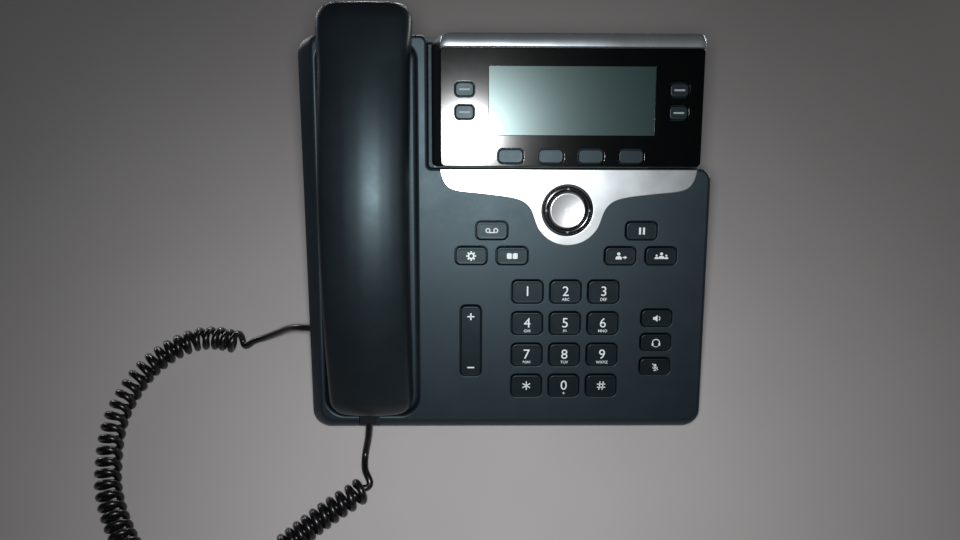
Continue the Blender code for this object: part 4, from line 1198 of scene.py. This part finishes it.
for rr_, n_ in ((3.2, 6), (6.2, 12)):
    for k in range(n_):
        a = 2 * math.pi * k / n_
        holes.append(circle(HS_U + rr_ * math.cos(a), 177.5 + rr_ * math.sin(a), 0.9, 16))
for k in range(-2, 3):
    holes.append(rounded(box_pts(HS_U + k * 2.6, 38, 1.1, 6.0 - abs(k) * 1.0, 0.5), 4))
cut(inner, [stack([(h_, -8.0), (h_, -4.0)]) for h_ in holes])
inner.data.shade_smooth()
inner.data.set_sharp_from_angle(angle=math.radians(30))

lamp_pts = [(HS_U - 14.2, HS_TOP - 4.1, 0.6), (HS_U + 14.2, HS_TOP - 4.1, 0.6),
            (HS_U + 14.2, HS_TOP - 0.2, 1.6), (HS_U - 14.2, HS_TOP - 0.2, 1.6)]
lamp = as_object("message_lamp", pillow(lamp_pts, 9.5, 12.6, 0.4), M_LAMP, "handset", angle=30)
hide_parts("handset_lamp")

# ------------------------------------------------------- rear, stand, sockets
SOCKETS = (158.0, 178.0)
PORT_W = -14.8
for name, mat in (("rear_housing", M_REAR), ("front_foot", M_RUBBER), ("stand_foot", M_RUBBER),
                  ("footstand", M_REAR), ("port_block", M_SOCKET), ("handset_socket", M_SOCKET), ("handset_clip", M_DARK),
                  ("hook_plunger", M_DARK), ("nav_pivot", M_DARK), ("main_board", M_BOARD),
                  ("keypad_mat", M_MAT), ("loudspeaker", M_CONE), ("handset_receiver", M_CONE),
                  ("handset_microphone", M_CONE), ("lcd_panel", M_BOARD), ("base_plug", M_PLUG),
                  ("handset_plug", M_PLUG)):
    ob = dress(name, mat)
    if name in ("rear_housing", "footstand"):
        b = ob.modifiers.new("edges", 'BEVEL')
        b.width = 0.7 * MM
        b.segments = 3
        b.limit_method = 'ANGLE'
        b.angle_limit = math.radians(50)


def rod(points, r, sides=8):
    return tube([Vector(p) for p in points], r, sides)


# contact wires in the two network sockets
wires = []
for v in SOCKETS:
    for k in range(8):
        vv = v - 3.57 + 1.02 * k
        wires.append(rod([(80.0, vv, PORT_W - 3.4), (88.0, vv, PORT_W - 1.0), (94.0, vv, PORT_W - 3.2)], 0.22, 6))
contacts = as_object("socket_contacts", merge(wires), M_CONTACT, "base", angle=60)

# ribs moulded on the back of the footstand
ribs = []
leg_top, leg_bot = Vector((0, 22.6, 71.2)), Vector((0, 64.0, 6.2))
leg_dir = (leg_bot - leg_top).normalized()
leg_out = Vector((0, -leg_dir.z, leg_dir.y))
if leg_out.y < 0:
    leg_out = -leg_out
for u in (-44.0, -22.0, 0.0, 22.0, 44.0):
    bm = bmesh.new()
    q = []
    for s_, h_ in ((0.06, 0.3), (0.12, 1.6), (0.88, 1.6), (0.95, 0.3)):
        q.append((leg_top.lerp(leg_bot, s_), h_))
    prof_ = [p + leg_out * h for p, h in q] + [p - leg_out * 0.6 for p, h in reversed(q)]
    lo = [bm.verts.new((u - 0.8, p.y, p.z)) for p in prof_]
    hi = [bm.verts.new((u + 0.8, p.y, p.z)) for p in prof_]
    bm.faces.new(lo)
    bm.faces.new(list(reversed(hi)))
    for i in range(len(lo)):
        j = (i + 1) % len(lo)
        bm.faces.new((lo[i], lo[j], hi[j], hi[i]))
    ribs.append(bm)
rib_ob = as_object("footstand_ribs", merge(ribs), M_REAR, "base", Matrix.Scale(MM, 4), 30)

# ------------------------------------------------------------ floor and light
bm = bmesh.new()
bmesh.ops.create_grid(bm, x_segments=1, y_segments=1, size=3.0)
fme = bpy.data.meshes.new("table_top")
bm.to_mesh(fme)
bm.free()
table = bpy.data.objects.new("table_top", fme)
bpy.context.scene.collection.objects.link(table)
M_TABLE, nt, b = node_mat("table_pale")
vec = obj_coords(nt, 1.0)
link(nt, ramp(nt, noise(nt, vec, 3.0, 4.0, 0.6), [(0.3, (0.47, 0.445, 0.44)), (0.7, (0.53, 0.505, 0.50))]), b.inputs["Base Color"])
b.inputs["Roughness"].default_value = 0.55
b.inputs["Specular IOR Level"].default_value = 0.3
fme.materials.append(M_TABLE)


def area(name, loc, target, size, power, colour=(1, 1, 1), size_y=None, spread=180.0):
    d = bpy.data.lights.new(name, 'AREA')
    d.energy = power
    d.color = colour
    d.shape = 'DISK' if size_y is None else 'RECTANGLE'
    d.size = size
    d.spread = math.radians(spread)
    if size_y:
        d.size_y = size_y
    o = bpy.data.objects.new(name, d)
    bpy.context.scene.collection.objects.link(o)
    o.location = loc
    o.rotation_euler = (Vector(target) - Vector(loc)).to_track_quat('-Z', 'Y').to_euler()
    return o


key_pos = FACE @ (Vector((-22.0, 156.0, 402.0)) * MM)
key_aim = FACE @ (Vector((-4.0, 80.0, 0.0)) * MM)
area("key", key_pos, key_aim, 0.045, 0.545, (0.97, 0.99, 1.0), spread=108)
# low, wide strips: they graze the table but light the sides and the back of the phone
area("back_low", (0.0, 1.35, 0.055), (0, 0.0, 0.085), 0.9, 0.66, (1.0, 0.99, 0.97), size_y=0.09, spread=50)
area("left_low", (-1.0, 1.0, 0.055), (-0.05, 0.0, 0.095), 0.8, 0.32, (0.97, 0.98, 1.0), size_y=0.09, spread=50)
area("right_low", (1.05, 0.7, 0.055), (0.05, 0.0, 0.095), 0.8, 0.52, (1.0, 0.98, 0.96), size_y=0.09, spread=50)

w = bpy.data.worlds.new("studio")
bpy.context.scene.world = w
w.use_nodes = True
w.node_tree.nodes["Background"].inputs["Color"].default_value = (0.9, 0.95, 1.0, 1)
w.node_tree.nodes["Background"].inputs["Strength"].default_value = 0.007

bpy.context.scene.view_settings.view_transform = 'Standard'

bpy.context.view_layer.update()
